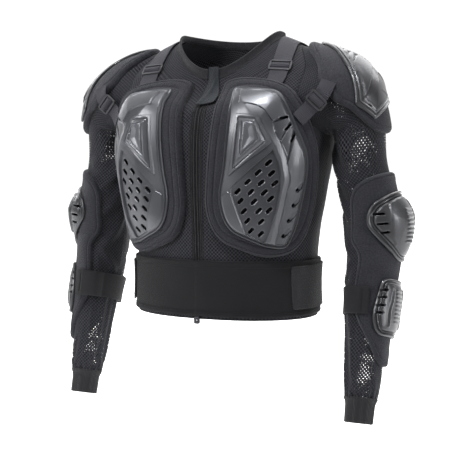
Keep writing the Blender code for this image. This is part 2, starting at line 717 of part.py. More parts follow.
def build_chest():
    pad_box = chest_box(CHEST_PAD_WIDTH, CHEST_PAD_HEIGHT)
    pad = patch(
        "chest_pad_left", on_torso, pad_box, CHEST_PAD_CORNERS, 26, 0.0,
        *pad_profile(CHEST_PAD_THICKNESS), PAD_GREY
    )
    seat(pad, "body_form_left", "sleeve_form_left")
    mirrored(pad, "chest_pad_right")

    box = chest_box(CHEST_PLATE_WIDTH, CHEST_PLATE_HEIGHT)
    foot = CHEST_PAD_THICKNESS + CHEST_PLATE_SEAT
    plate = patch(
        "chest_plate_left", on_torso, box, CHEST_PLATE_CORNERS, 26, foot,
        *plate_profile(CHEST_PLATE_RISE, PLATE_WALL), PLATE_GREY, 0.3, 0.6
    )
    left, top, width, height = box
    holes = [(a, b, SLOT_TURN, SLOT_LENGTH, SLOT_WIDTH) for a, b in CHEST_SLOTS]
    holes += [(a, b, turn, SLOT_LENGTH, SLOT_WIDTH * 0.6) for a, b, turn in CHEST_VENTS]
    holes += [(a, b, turn, SLOT_WIDTH, SLOT_WIDTH * 0.8) for a, b, turn in CHEST_SCOOPS]
    rings = [
        (left + a * width, top - b * height, turn, length, wide) for a, b, turn, length, wide in holes
    ]
    pierce(plate, on_torso, rings, foot + CHEST_PLATE_RISE - PLATE_WALL)
    mirrored(plate, "chest_plate_right")


def pierce(plate, place, holes, underside):
    """Cuts slots of (across, height, turn in degrees, length, width) through a plate."""
    solids = bmesh.new()
    for x, z, turn, length, width in holes:
        turn = math.radians(turn)
        long, wide = np.array([math.cos(turn), math.sin(turn)]), np.array([-math.sin(turn), math.cos(turn)])
        straight, bulge = (length - width) / 2, width / 2
        outline = [
            (straight, -bulge), (straight + bulge, 0), (straight, bulge),
            (-straight, bulge), (-straight - bulge, 0), (-straight, -bulge),
        ]
        flat = np.array([np.array([x, z]) + u * long + v * wide for u, v in outline])
        middle = place(np.array([x]), np.array([z]), np.array([underside]))[0]
        axis = place(np.array([x]), np.array([z]), np.array([underside + 0.01]))[0] - middle
        axis /= np.linalg.norm(axis)
        ring = place(flat[:, 0], flat[:, 1], np.full(6, underside))
        ring -= np.outer((ring - middle) @ axis, axis)
        layers = [[solids.verts.new(p + axis * reach) for p in ring] for reach in (-0.008, 0.012)]
        for i in range(6):
            j = (i + 1) % 6
            solids.faces.new((layers[0][i], layers[0][j], layers[1][j], layers[1][i]))
        solids.faces.new(layers[0])
        solids.faces.new(layers[1])
    bmesh.ops.recalc_face_normals(solids, faces=solids.faces)
    mesh = bpy.data.meshes.new(plate.name + "_holes")
    solids.to_mesh(mesh)
    solids.free()
    cut(plate, make_cutter(plate.name + "_holes", mesh))


def on_sleeve_down(across, height, lift):
    """The sleeve's patches use height as minus the way down, so that their boxes hang from a top."""
    return on_sleeve(across, -np.asarray(height, float), lift)


def arm_box(middle, top, width, length):
    return middle - width / 2, -top, width, length


def arm_tops():
    """How far down the sleeve the elbow pad, the cup and the forearm plate begin."""
    pad = ELBOW_PAD_DOWN * SLEEVE_LENGTH
    cup = pad + ELBOW_CUP_BELOW
    return pad, cup, cup + ELBOW_CUP_LENGTH + FOREARM_PLATE_BELOW


def build_shoulder():
    box = arm_box(0, SHOULDER_PAD_DOWN, SHOULDER_PAD_WIDTH, SHOULDER_PAD_LENGTH)
    pad = patch(
        "shoulder_pad_left", on_sleeve_down, box, SHOULDER_PAD_CORNERS, 20, 0.0,
        *pad_profile(SHOULDER_PAD_THICKNESS), PAD_GREY
    )
    seat(pad, "body_form_left", "sleeve_form_left")
    mirrored(pad, "shoulder_pad_right")
    down = SHOULDER_PAD_DOWN + SHOULDER_PLATE_BELOW
    box = arm_box(SHOULDER_PLATE_TURN, down, SHOULDER_PLATE_WIDTH, SHOULDER_PLATE_LENGTH)
    foot = SHOULDER_PAD_THICKNESS + SHOULDER_PLATE_SEAT
    plate = patch(
        "shoulder_plate_left", on_sleeve_down, box, SHOULDER_PLATE_CORNERS, 20, foot,
        *plate_profile(SHOULDER_PLATE_RISE, PLATE_WALL), PLATE_GREY, 0.3, 0.6
    )
    mirrored(plate, "shoulder_plate_right")


def build_arm():
    pad_top, cup_top, plate_top = arm_tops()
    box = arm_box(0, pad_top, ELBOW_PAD_WIDTH, ELBOW_PAD_LENGTH)
    pad = patch(
        "elbow_pad_left", on_sleeve_down, box, ELBOW_PAD_CORNERS, 24, 0.0,
        *pad_profile(ELBOW_PAD_THICKNESS), PAD_GREY
    )
    seat(pad, "sleeve_form_left")
    mirrored(pad, "elbow_pad_right")

    foot = ELBOW_PAD_THICKNESS + ARM_PLATE_SEAT
    cup_box = arm_box(ELBOW_CUP_TURN, cup_top, ELBOW_CUP_WIDTH, ELBOW_CUP_LENGTH)
    plate_box = arm_box(0, plate_top, FOREARM_PLATE_WIDTH, FOREARM_PLATE_LENGTH)
    for name, corners, slots, box, rise in (
        ("elbow_cup", ELBOW_CUP_CORNERS, ELBOW_SLOTS, cup_box, ELBOW_CUP_RISE),
        ("forearm_plate", FOREARM_PLATE_CORNERS, FOREARM_SLOTS, plate_box, FOREARM_PLATE_RISE),
    ):
        plate = patch(
            name + "_left", on_sleeve_down, box, corners, 18, foot,
            *plate_profile(rise, PLATE_WALL), PLATE_GREY, 0.3, 0.6
        )
        left, head, width, length = box
        holes = [
            (left + a * width, head - b * length, 0, long * width, ARM_SLOT_WIDTH) for a, b, long in slots
        ]
        pierce(plate, on_sleeve_down, holes, foot + rise - PLATE_WALL)
        mirrored(plate, name + "_right")


def build_back():
    """Plain pad on the back, which the straps and the belt meet."""
    box = (-BACK_PAD_WIDTH / 2, BACK_PAD_TOP, BACK_PAD_WIDTH, BACK_PAD_HEIGHT)
    profile = pad_profile(BACK_PAD_THICKNESS)
    pad = patch("back_pad", on_back, box, BACK_PAD_CORNERS, 24, 0.0, *profile, PAD_GREY)
    seat(pad, "body_form_left")


def strap_stations(length, buckle):
    """Distances along a strap, and its rise at each, where it weaves through a buckle."""
    over = STRAP_WALL + BUCKLE_WALL + 2 * SEAM_GAP
    turns = [
        (buckle - BUCKLE_LENGTH / 2, 0.0),
        (buckle - BUCKLE_LENGTH / 2 + 1.3 * BUCKLE_BAR, 0.0),
        (buckle - 0.8 * BUCKLE_BAR, over),
        (buckle + 0.8 * BUCKLE_BAR, over),
        (buckle + BUCKLE_LENGTH / 2 - 1.3 * BUCKLE_BAR, 0.0),
        (buckle + BUCKLE_LENGTH / 2, 0.0),
    ]
    before = np.linspace(0, turns[0][0], max(2, round(turns[0][0] / 0.012)))[:-1]
    rest = length - turns[-1][0]
    after = np.linspace(turns[-1][0], length, max(2, round(rest / 0.012)))[1:]
    return [(d, 0.0) for d in before] + turns + [(d, 0.0) for d in after]


def webbing(name, points, normals, width, buckle, trims=()):
    """A strap along points, and its ladder buckle at a share of the strap's length."""
    points, normals = np.asarray(points), np.asarray(normals)
    lengths = np.concatenate([[0], np.cumsum(np.linalg.norm(np.diff(points, axis=0), axis=1))])
    at = lambda table, d: smooth(np.column_stack([lengths, table]), d).T
    distances, rises = np.array(strap_stations(lengths[-1], buckle * lengths[-1])).T
    middle, here = int(np.argmin(np.abs(distances - buckle * lengths[-1]))), buckle * lengths[-1]
    outward = at(normals, distances)
    outward /= np.linalg.norm(outward, axis=1, keepdims=True)
    base = at(points, distances)
    straight = base[middle + 2] - base[middle - 2]
    straight /= np.linalg.norm(straight)
    inside = np.abs(distances - here) <= 0.51 * BUCKLE_LENGTH
    centre = at(points, np.array([here]))[0]
    base[inside] = centre + np.outer(distances[inside] - here, straight)
    n = outward[inside].mean(0)
    n -= (n @ straight) * straight
    n /= np.linalg.norm(n)
    outward[inside] = n
    way = np.gradient(base, axis=0)
    way[inside] = straight
    side = np.cross(way, outward)
    side /= np.linalg.norm(side, axis=1, keepdims=True)
    path = base + outward * rises[:, None]
    edges = [path + side * width / 2, path - side * width / 2]
    strap = sheet(name + "_left", edges, -STRAP_WALL, STRAP_GREY)
    for trim in trims:
        cut(strap, trim)
    mirrored(strap, name + "_right")

    u, v = straight, np.cross(n, straight)
    long, wide, bar, slack = BUCKLE_LENGTH / 2, width / 2 + BUCKLE_BAR + 0.0012, BUCKLE_BAR, 0.0012
    hole = (long - 1.5 * bar) / 2
    corners = [(long, wide, bar), (-long, wide, bar), (-long, -wide, bar), (long, -wide, bar)]
    outlines = [rounded_outline(corners, 20)]
    for side_of in (-1, 1):
        x, y = side_of * (bar / 2 + hole), width / 2 + slack
        outlines.append(np.array([(x - hole, -y), (x + hole, -y), (x + hole, y), (x - hole, y)]))
    curve = bpy.data.curves.new(name + "_buckle", "CURVE")
    curve.dimensions, curve.fill_mode = "2D", "BOTH"
    curve.extrude = BUCKLE_WALL / 2
    for outline in outlines:
        line = curve.splines.new("POLY")
        line.points.add(len(outline) - 1)
        for point, (x, y) in zip(line.points, outline):
            point.co = (x, y, 0, 1)
        line.use_cyclic_u = True
    flat = bpy.data.objects.new(name + "_outline", curve)
    mesh = bpy.data.meshes.new_from_object(flat)
    bpy.data.objects.remove(flat)
    height = centre + n * (STRAP_WALL + SEAM_GAP + BUCKLE_WALL / 2)
    mesh.transform(Matrix([[u[k], v[k], n[k], height[k]] for k in range(3)] + [[0, 0, 0, 1]]))
    frame = finish(name + "_buckle_left", mesh, PLATE_GREY, 0.45)
    weld = frame.modifiers.new("weld", "WELD")
    weld.merge_threshold = 0.00005
    mirrored(frame, name + "_buckle_right")


def build_straps():
    """Shoulder straps from the chest pads to the back pad, and side straps to the shoulder pads."""
    table = np.column_stack([np.arange(len(SHOULDER_STRAP_PATH)), SHOULDER_STRAP_PATH])
    angle, up = smooth(table, np.linspace(0, len(table) - 1, 22))
    path = lifted(torso_point, angle, up, STRAP_SEAT)
    normals = lifted(torso_point, angle, up, STRAP_SEAT + 0.01) - path
    outline = rounded_outline(corners_in(chest_box(CHEST_PAD_WIDTH, CHEST_PAD_HEIGHT), CHEST_PAD_CORNERS), 26)
    deep, high = -SUNK, 2 * CHEST_PAD_THICKNESS
    rings = domed_rings(outline, on_torso, ((-0.008, deep), (0.6, deep)), ((-0.008, high), (0.6, high)))
    trim = make_cutter("pad_edge_left", ring_solid("pad_edge_left", rings))
    webbing("shoulder_strap", path, normals, STRAP_WIDTH, SHOULDER_BUCKLE, [trim])

    pad = CHEST_PAD_THICKNESS + SIDE_STRAP_SEATS[0]
    cap = SHOULDER_PAD_THICKNESS + SIDE_STRAP_SEATS[1]
    across, height = np.array(SIDE_STRAP_PATH).T
    place = lambda lift: np.concatenate(
        [on_torso(across[:2], height[:2], pad + lift), on_sleeve_down(across[2:], height[2:], cap + lift)]
    )
    path, out = place(0.0), place(0.01) - place(0.0)
    normals = np.linspace(out[0], out[-1], 4)
    webbing("side_strap", path, normals, SIDE_STRAP_WIDTH, SIDE_BUCKLE)


def build_arm_strap():
    """Wide elastic strap round the inside of the forearm, over the elbow pad's edges."""
    step = 360 / SLEEVE_COLUMNS
    turns = np.array(ARM_STRAP_TURNS) * step
    top = ELBOW_PAD_THICKNESS + STRAP_SEAT
    lifts = np.interp(turns, turns[3:5], [top, SEAT])
    turns = np.concatenate([turns, 360 - turns[-2::-1]])
    lifts = np.concatenate([lifts, lifts[-2::-1]])
    across = np.radians(turns) * ARM_WIDTH / 2
    downs = arm_tops()[2] + ARM_STRAP_BELOW + np.linspace(-0.5, 0.5, 3) * ARM_STRAP_WIDTH
    rows = [on_sleeve(across, np.full(len(across), down), lifts) for down in downs]
    strap = sheet("arm_strap_left", rows, -ARM_STRAP_WALL, BELT_BLACK)
    mirrored(strap, "arm_strap_right")


def clear_scene():
    for piece in list(bpy.data.objects):
        bpy.data.objects.remove(piece)
    for name in ("armour_jacket", "cutters"):
        if name not in bpy.data.collections:
            bpy.context.scene.collection.children.link(bpy.data.collections.new(name))


def build():
    clear_scene()
    build_body()
    build_sleeves()
    build_forms()
    build_cuffs()
    build_collar()
    build_zipper()
    build_tab()
    build_belt()
    build_chest()
    build_shoulder()
    build_arm()
    build_back()
    build_straps()
    build_arm_strap()


build()
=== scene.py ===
"""Looks of the motocross body armour jacket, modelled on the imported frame's own surfaces.

Metres, +Z up. The wearer faces -Y and their left side is +X. A left-hand piece is modelled and
its right-hand twin is its mirror image. Every surface is worked out from the same two charts as
the frame: the torso, by metres round it and height, and the sleeve, by metres round it and down.
"""

import math
from functools import partial

import bpy
import numpy as np
from mathutils import Matrix, Vector
from mathutils.geometry import delaunay_2d_cdt


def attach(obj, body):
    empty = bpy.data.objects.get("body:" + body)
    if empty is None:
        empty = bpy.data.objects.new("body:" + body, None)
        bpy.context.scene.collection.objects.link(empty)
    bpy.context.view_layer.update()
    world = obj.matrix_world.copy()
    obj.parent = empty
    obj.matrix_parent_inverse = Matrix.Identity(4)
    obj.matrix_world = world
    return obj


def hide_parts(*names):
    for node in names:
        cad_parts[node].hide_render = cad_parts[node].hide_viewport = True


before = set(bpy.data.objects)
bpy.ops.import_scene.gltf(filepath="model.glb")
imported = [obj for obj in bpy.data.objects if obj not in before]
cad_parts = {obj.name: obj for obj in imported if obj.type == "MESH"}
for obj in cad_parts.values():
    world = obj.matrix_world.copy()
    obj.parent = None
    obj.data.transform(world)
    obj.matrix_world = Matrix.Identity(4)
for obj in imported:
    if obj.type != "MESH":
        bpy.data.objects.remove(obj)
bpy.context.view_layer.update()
MIRROR_X = Matrix.Scale(-1, 4, (1, 0, 0))

# Torso and sleeve, as in the frame
TORSO_LENGTH = 0.460
CHEST_WIDTH = 0.366
CHEST_DEPTH = 0.232
NECK_DROP = 0.068
SLEEVE_LENGTH = 0.617
ARM_WIDTH = 0.088
CUFF_LENGTH = 0.037
CUFF_WIDTH = 0.048
CUFF_WALL = 0.003
ARMHOLE_LOW, ARMHOLE_HIGH = 0.645, 0.965
ARMHOLE_SPREAD = 41.0
ARMHOLE_BLEND = 0.30
CLOTH = 0.0016  # thinner than in the frame
ZIP_WIDTH = 0.024
TORSO_ROWS = (
    # up, width, depth, centre, front drop, back drop, squareness
    (0.00, 0.865, 0.940, 0.00, 0.00, 0.00, 2.2),
    (0.12, 0.855, 0.920, 0.00, 0.00, 0.00, 2.2),
    (0.30, 0.890, 0.940, 0.00, 0.00, 0.00, 2.2),
    (0.48, 0.960, 0.980, 0.00, 0.00, 0.00, 2.3),
    (0.64, 1.010, 0.990, 0.01, 0.00, 0.00, 2.5),
    (0.76, 1.010, 0.950, 0.03, 0.25, 0.06, 2.8),
    (0.86, 0.980, 0.890, 0.06, 0.72, 0.20, 2.9),
    (0.93, 0.860, 0.800, 0.09, 0.96, 0.30, 2.7),
    (0.98, 0.620, 0.720, 0.10, 1.04, 0.24, 2.4),
    (1.00, 0.490, 0.670, 0.09, 1.00, 0.12, 2.1),
)
SLEEVE_ROWS = (
    # along, out, back, down, tilt, lean, half out, half fore and aft
    (0.000, -0.045, 0.014, -0.124, -20, 0, 0.900, 0.820),
    (0.063, -0.006, 0.014, -0.113, -5, 0, 0.780, 0.820),
    (0.135, 0.030, 0.014, -0.095, 15, 0, 0.660, 0.800),
    (0.206, 0.056, 0.014, -0.067, 38, 0, 0.560, 0.740),
    (0.270, 0.069, 0.014, -0.036, 62, 0, 0.490, 0.660),
    (0.315, 0.075, 0.014, -0.013, 80, 0, 0.470, 0.580),
    (0.371, 0.077, 0.017, 0.060, 83, 0, 0.480, 0.540),
    (0.461, 0.093, 0.022, 0.148, 83, 0, 0.480, 0.530),
    (0.551, 0.108, 0.026, 0.237, 84, 0, 0.480, 0.545),
    (0.655, 0.110, 0.014, 0.342, 87, 9, 0.440, 0.530),
    (0.770, 0.112, -0.016, 0.455, 89, 14, 0.400, 0.460),
    (0.886, 0.115, -0.046, 0.568, 89, 14, 0.345, 0.380),
    (0.960, 0.116, -0.066, 0.640, 89, 14, 0.320, 0.340),
    (1.000, 0.116, -0.076, 0.677, 89, 14, 0.280, 0.285),
)


def smooth(table, at):
    """The table's columns at places along its first column, on a smooth curve through its rows."""
    table = np.asarray(table, float)
    x, y = table[:, 0], table[:, 1:]
    slope = np.gradient(y, x, axis=0)
    at = np.clip(np.asarray(at, float), x[0], x[-1])
    i = np.clip(np.searchsorted(x, at, side="right") - 1, 0, len(x) - 2)
    step = x[i + 1] - x[i]
    f = ((at - x[i]) / step)[..., None]
    step = step[..., None]
    start = (2 * f**3 - 3 * f**2 + 1) * y[i] + (f**3 - 2 * f**2 + f) * step * slope[i]
    end = (3 * f**2 - 2 * f**3) * y[i + 1] + (f**3 - f**2) * step * slope[i + 1]
    return np.moveaxis(start + end, -1, 0)


def unit(vectors):
    return vectors / np.linalg.norm(vectors, axis=-1, keepdims=True)


def run_along(points):
    """Metres run along a line of points, from its start."""
    return np.concatenate([[0], np.cumsum(np.linalg.norm(np.diff(points, axis=0), axis=1))])


def torso_point(angle, up):
    """Outer surface of the torso: degrees from the front centre to the wearer's left, and share up."""
    angle, up = np.broadcast_arrays(np.asarray(angle, float), np.asarray(up, float))
    width, depth, centre, front_drop, back_drop, square = smooth(TORSO_ROWS, up)
    s, c = np.sin(np.radians(angle)), np.cos(np.radians(angle))
    reach = (np.abs(s) ** square + np.abs(c) ** square) ** (-1 / square)
    x = CHEST_WIDTH / 2 * width * reach * s
    y = CHEST_DEPTH * (centre - depth / 2 * reach * c)
    sag = front_drop * np.maximum(c, 0) ** 2 + back_drop * np.maximum(-c, 0) ** 2
    z = TORSO_LENGTH * (up - 1) - NECK_DROP * sag
    return np.stack([x, y, z], axis=-1)


def chest_angle(across):
    """Angle of a point that lies this far round the chest from the front centre."""
    angles = np.arange(-180.0, 181.0)
    run = run_along(torso_point(angles, ARMHOLE_LOW))
    return np.interp(across, run - np.interp(0, angles, run), angles)


def spot_at(angle, height):
    """The torso's surface at an angle and a height in metres."""
    low, high = np.zeros_like(angle), np.ones_like(angle)
    for _ in range(24):
        middle = (low + high) / 2
        above = torso_point(angle, middle)[..., 2] > height
        low, high = np.where(above, low, middle), np.where(above, middle, high)
    return torso_point(angle, (low + high) / 2)


def torso_spot(across, height):
    return spot_at(chest_angle(across), height)


def back_spot(across, height):
    return spot_at(180 + chest_angle(across), height)


def armhole_point(around):
    turn = np.radians(around)
    middle, half = (ARMHOLE_LOW + ARMHOLE_HIGH) / 2, (ARMHOLE_HIGH - ARMHOLE_LOW) / 2
    return torso_point(90 - ARMHOLE_SPREAD * np.sin(turn), middle + half * np.cos(turn))


def sleeve_ring(along, around):
    out, back, down, tilt, lean, half_out, half_fore = smooth(SLEEVE_ROWS, along)
    centre = torso_point(90.0, ARMHOLE_LOW) + SLEEVE_LENGTH * np.stack([out, back, -down], axis=-1)
    tilt, lean, turn = np.radians(tilt), np.radians(lean), np.radians(around)
    outer = np.stack([np.sin(tilt), np.zeros_like(tilt), np.cos(tilt)], axis=-1)
    front = np.stack([np.zeros_like(lean), -np.cos(lean), np.sin(lean)], axis=-1)
    away = (half_out * np.cos(turn))[..., None] * outer + (half_fore * np.sin(turn))[..., None] * front
    return centre + ARM_WIDTH * away


def sleeve_point(along, around):
    """Left sleeve's surface: share along it, and degrees from its outer side to the front."""
    along, around = np.broadcast_arrays(np.asarray(along, float), np.asarray(around, float))
    start = armhole_point(around) - sleeve_ring(np.zeros_like(along), around)
    fade = np.clip(1 - along / ARMHOLE_BLEND, 0, 1)[..., None] ** 2
    return sleeve_ring(along, around) + start * fade


def sleeve_spot(across, down):
    return sleeve_point(down / SLEEVE_LENGTH, np.degrees(across / (ARM_WIDTH / 2)))


def lifted(surface, a, b, lift):
    """Points of surface(a, b) raised along its normal, which is da x db."""
    step = 1e-3
    a, b = np.broadcast_arrays(np.asarray(a, float), np.asarray(b, float))
    da = surface(a + step, b) - surface(a - step, b)
    db = surface(a, b + step) - surface(a, b - step)
    return surface(a, b) + unit(np.cross(da, db)) * np.asarray(lift, float)[..., None]


on_torso = partial(lifted, torso_spot)
on_back = partial(lifted, back_spot)
on_sleeve = partial(lifted, sleeve_spot)


def on_sleeve_down(across, height, lift):
    """As on_sleeve, with height as minus the way down, so that boxes hang from a top."""
    return on_sleeve(across, -np.asarray(height, float), lift)


# Flat outlines, lines and reliefs, in metres on a chart

def ease(value, low, high):
    """0 up to low, 1 from high on, and a smooth rise between them."""
    f = np.clip((value - low) / (high - low), 0, 1)
    return f * f * (3 - 2 * f)


def bump(value, middle, half):
    """1 at the middle, falling smoothly to 0 at half a width to each side."""
    return 0.5 + 0.5 * np.cos(np.pi * np.clip((value - middle) / half, -1, 1))


def stroke(points, start, end):
    """Distance of each point from a straight stroke, and its share along the stroke."""
    start, end = np.asarray(start, float), np.asarray(end, float)
    way = end - start
    share = np.clip((points - start) @ way / max(way @ way, 1e-12), 0, 1)
    return np.hypot(*(points - start - share[:, None] * way).T), share


def distance(points, line, closed=False):
    """How far each point lies from a line of straight steps."""
    line = np.asarray(line, float)
    starts, ends = (line, np.roll(line, -1, 0)) if closed else (line[:-1], line[1:])
    best = np.full(len(points), 1e9)
    for start, end in zip(starts, ends):
        best = np.minimum(best, stroke(points, start, end)[0])
    return best


def inside(points, outline):
    x, y = points[:, :1], points[:, 1:]
    (ax, ay), (bx, by) = np.asarray(outline, float).T, np.roll(outline, -1, 0).T
    with np.errstate(divide="ignore", invalid="ignore"):
        at = ax + (y - ay) * (bx - ax) / (by - ay)
    return np.sum(((ay > y) != (by > y)) & (x < at), axis=1) % 2 == 1


def depth_in(points, outline):
    """Distance from an outline, positive inside it."""
    return distance(points, outline, True) * np.where(inside(points, outline), 1, -1)


def ringed(line):
    """The line with its first point again at the end."""
    return np.vstack([line, line[:1]])


def evenly(line, count, closed):
    """So many points at even steps along a line. An open line keeps its ends."""
    run = run_along(line)
    at = np.linspace(0, run[-1], count, endpoint=not closed)
    return np.stack([np.interp(at, run, column) for column in line.T], axis=1)


def spaced(line, step, closed=False):
    """The line's points at even steps of about this length."""
    line = np.asarray(line, float)
    if closed:
        line = ringed(line)
    count = max(2, round(run_along(line)[-1] / step))
    return evenly(line, count + (not closed), closed)


def curved(points, count=24):
    """A smooth line through a few points."""
    table = np.column_stack([np.arange(len(points)), points])
    return smooth(table, np.linspace(0, len(points) - 1, count)).T


def rounded_outline(corners, count):
    """A closed outline of count points, evenly spaced, round corners of (x, y, radius)."""
    corners = np.asarray(corners, float)
    points = []
    for before, here, after in zip(np.roll(corners, 1, 0), corners, np.roll(corners, -1, 0)):
        one, two = before[:2] - here[:2], after[:2] - here[:2]
        near = min(here[2], 0.49 * np.linalg.norm(one), 0.49 * np.linalg.norm(two))
        start = here[:2] + one / np.linalg.norm(one) * near
        end = here[:2] + two / np.linalg.norm(two) * near
        for f in np.linspace(0, 1, 9):
            points.append((1 - f) ** 2 * start + 2 * f * (1 - f) * here[:2] + f**2 * end)
    return evenly(ringed(np.array(points)), count, True)


def inset(outline, inwards):
    """The outline moved inwards along its own normals."""
    ahead, behind = np.roll(outline, -1, 0), np.roll(outline, 1, 0)
    along = ahead - behind
    inward = unit(np.stack([-along[:, 1], along[:, 0]], axis=1))
    area = np.sum(outline[:, 0] * ahead[:, 1] - ahead[:, 0] * outline[:, 1])
    return outline + inward * inwards * np.sign(area)


def kept_inset(outline, inwards):
    """An inset with the points left out that a tight corner folds over."""
    moved = inset(outline, inwards)
    return moved[depth_in(moved, outline) > 0.9 * inwards]


def shape(box, corners, count=320):
    """The outline round corners given as shares of a box's width, height and width."""
    left, top, width, height = box
    places = [(left + a * width, top - b * height, r * width) for a, b, r in corners]
    return rounded_outline(places, count)


def heading(turn):
    """The direction at this many degrees."""
    return np.array([math.cos(math.radians(turn)), math.sin(math.radians(turn))])


def capsule(middle, turn, length, width):
    """Outline of a slot: its middle, turn in degrees, and full length and width."""
    along = heading(turn)
    side = np.array([-along[1], along[0]])
    angles = np.linspace(-90, 270, 20, endpoint=False)
    shift = np.where(angles < 90, 0.5, -0.5) * (length - width)
    s, c = np.sin(np.radians(angles)) * width / 2, np.cos(np.radians(angles)) * width / 2
    return np.asarray(middle) + np.outer(shift + c, along) + np.outer(s, side)


def filled(outline, spacing, holes=(), lines=()):
    """Triangles that fill an outline around its holes, with edges along the lines."""
    fixed, edges = [], []
    for line, closed in [(outline, True), *((h, True) for h in holes), *((c, False) for c in lines)]:
        points = spaced(line, spacing, closed)
        start, count = len(fixed), len(points)
        fixed.extend(points)
        edges += [(start + i, start + (i + 1) % count) for i in range(count if closed else count - 1)]
    fixed = np.array(fixed)
    low, high = outline.min(0), outline.max(0)
    rows = np.arange(low[1], high[1], spacing * 0.866)
    grid = np.array([
        (x + (spacing / 2 if i % 2 else 0), z)
        for i, z in enumerate(rows) for x in np.arange(low[0], high[0], spacing)
    ])
    grid = grid[inside(grid, outline)]
    clear = np.ones(len(grid), bool)
    for start in range(0, len(fixed), 64):
        near = fixed[start:start + 64]
        gaps = (grid[:, None, 0] - near[:, 0]) ** 2 + (grid[:, None, 1] - near[:, 1]) ** 2
        clear &= gaps.min(1) > (0.62 * spacing) ** 2
    coords = np.vstack([fixed, grid[clear]])
    made = delaunay_2d_cdt([Vector(p) for p in coords], edges, [], 0, 1e-6)
    flat, tris = np.array([tuple(v) for v in made[0]]), np.array(made[2])
    middles = flat[tris].mean(1)
    keep = inside(middles, outline)
    for hole in holes:
        keep &= ~inside(middles, spaced(hole, spacing, True))
    used, order = np.unique(tris[keep], return_inverse=True)
    return flat[used], order.reshape(-1, 3)


# Meshes

def add_object(name, data):
    made = bpy.data.objects.new(name, data)
    bpy.context.scene.collection.objects.link(made)
    return made


def signed_volume(points, faces):
    """Six times a closed mesh's volume, negative where its faces point inwards."""
    first, *others = (points[faces[:, k]] for k in range(faces.shape[1]))
    return sum(np.sum(first * np.cross(b, c)) for b, c in zip(others, others[1:]))


def add_mesh(name, points, faces, chart, material, crease=35, relief=0.0):
    """Links a closed mesh; chart is each point's place on its cloth, in metres, for the weave, and relief a
    share of painted shade and highlight for each point.
    """
    mesh = bpy.data.meshes.new(name)
    mesh.from_pydata(points.tolist(), [], faces.tolist())
    mesh.update()
    if signed_volume(points, faces) < 0:
        mesh.flip_normals()
    spots = np.column_stack([chart, np.zeros(len(chart))])
    # Painted shade: the relief attribute darkens a plate's grooves and lightens its ridges.
    painted_shade = np.broadcast_to(relief, len(points))
    for key, kind, field, values in (
        ("chart", "FLOAT_VECTOR", "vector", spots),
        ("relief", "FLOAT", "value", painted_shade),
    ):
        made = mesh.attributes.new(key, kind, "POINT")
        made.data.foreach_set(field, values.astype(np.float32).ravel())
    mesh.shade_smooth()
    mesh.set_sharp_from_angle(angle=math.radians(crease))
    mesh.materials.append(material)
    return add_object(name, mesh)


def solid(name, place, flat, tris, over, under, material, crease=35, relief=0.0):
    """A closed piece between two heights over a chart."""
    count = len(flat)
    tops = place(flat[:, 0], flat[:, 1], over)
    bottoms = place(flat[:, 0], flat[:, 1], under)
    edges = np.vstack([tris[:, [0, 1]], tris[:, [1, 2]], tris[:, [2, 0]]]).tolist()
    known = {tuple(e) for e in edges}
    i, j = np.array([(i, j) for i, j in edges if (j, i) not in known]).T
    walls = np.vstack([np.column_stack([j, i, i + count]), np.column_stack([j, i + count, j + count])])
    faces = np.vstack([tris, tris[:, ::-1] + count, walls])
    # Painted shade: the underside takes the darkest share.
    painted_shade = np.concatenate([np.broadcast_to(relief, count), np.full(count, np.min(relief))])
    return add_mesh(name, np.vstack([tops, bottoms]), faces, np.vstack([flat, flat]), material, crease, painted_shade)


def grid_solid(name, outer, inner, chart, material, closed=False, crease=35):
    """A closed piece between two grids of points; closed joins each row's ends."""
    rows, columns = outer.shape[:2]
    count = rows * columns
    index = np.arange(count).reshape(rows, columns)
    if closed:
        index = np.hstack([index, index[:, :1]])
    corners = [index[:-1, :-1], index[:-1, 1:], index[1:, 1:], index[1:, :-1]]
    quads = np.stack(corners, axis=-1).reshape(-1, 4)
    borders = [index[0], index[-1, ::-1]]
    if not closed:
        borders += [index[::-1, 0], index[:, -1]]
    walls = []
    for line in borders:
        a, b = line[:-1], line[1:]
        walls.append(np.stack([b, a, a + count, b + count], axis=-1))
    faces = np.vstack([quads, quads[:, ::-1] + count, *walls])
    points = np.vstack([outer.reshape(-1, 3), inner.reshape(-1, 3)])
    return add_mesh(name, points, faces, np.vstack([chart.reshape(-1, 2)] * 2), material, crease)


def dress(piece, slot, *nodes):
    """The piece rides on the frame, in place of its nodes."""
    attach(piece, "root")
    if nodes:
        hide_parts(*nodes)
    return piece


def pair(piece, slot, *nodes):
    """Dresses a left-hand piece and adds its mirror image. Each stands for its side's nodes."""
    dress(piece, slot, *(n + "_left" for n in nodes))
    copy = add_object(piece.name.replace("_left", "_right"), piece.data.copy())
    copy.data.name = copy.name
    copy.data.transform(MIRROR_X)
    copy.data.flip_normals()
    return piece, dress(copy, slot, *(n + "_right" for n in nodes))


# Materials

def node(tree, kind, inputs=None, **settings):
    made = tree.nodes.new("ShaderNode" + kind)
    for key, value in settings.items():
        setattr(made, key, value)
    for key, value in (inputs or {}).items():
        if isinstance(value, bpy.types.NodeSocket):
            tree.links.new(value, made.inputs[key])
        else:
            made.inputs[key].default_value = value
    return made


def calc(tree, operation, *values):
    return node(tree, "Math", dict(enumerate(values)), operation=operation).outputs[0]


def weighted(tree, total, *terms):
    """A number or socket, plus each further socket times its weight."""
    for socket, weight in terms:
        total = calc(tree, "MULTIPLY_ADD", socket, weight, total)
    return total


def ranged(tree, value, *ends):
    """A value carried from one range to another, which is 0 to 1 unless it is given."""
    return node(tree, "MapRange", dict(enumerate((value, *ends)))).outputs[0]


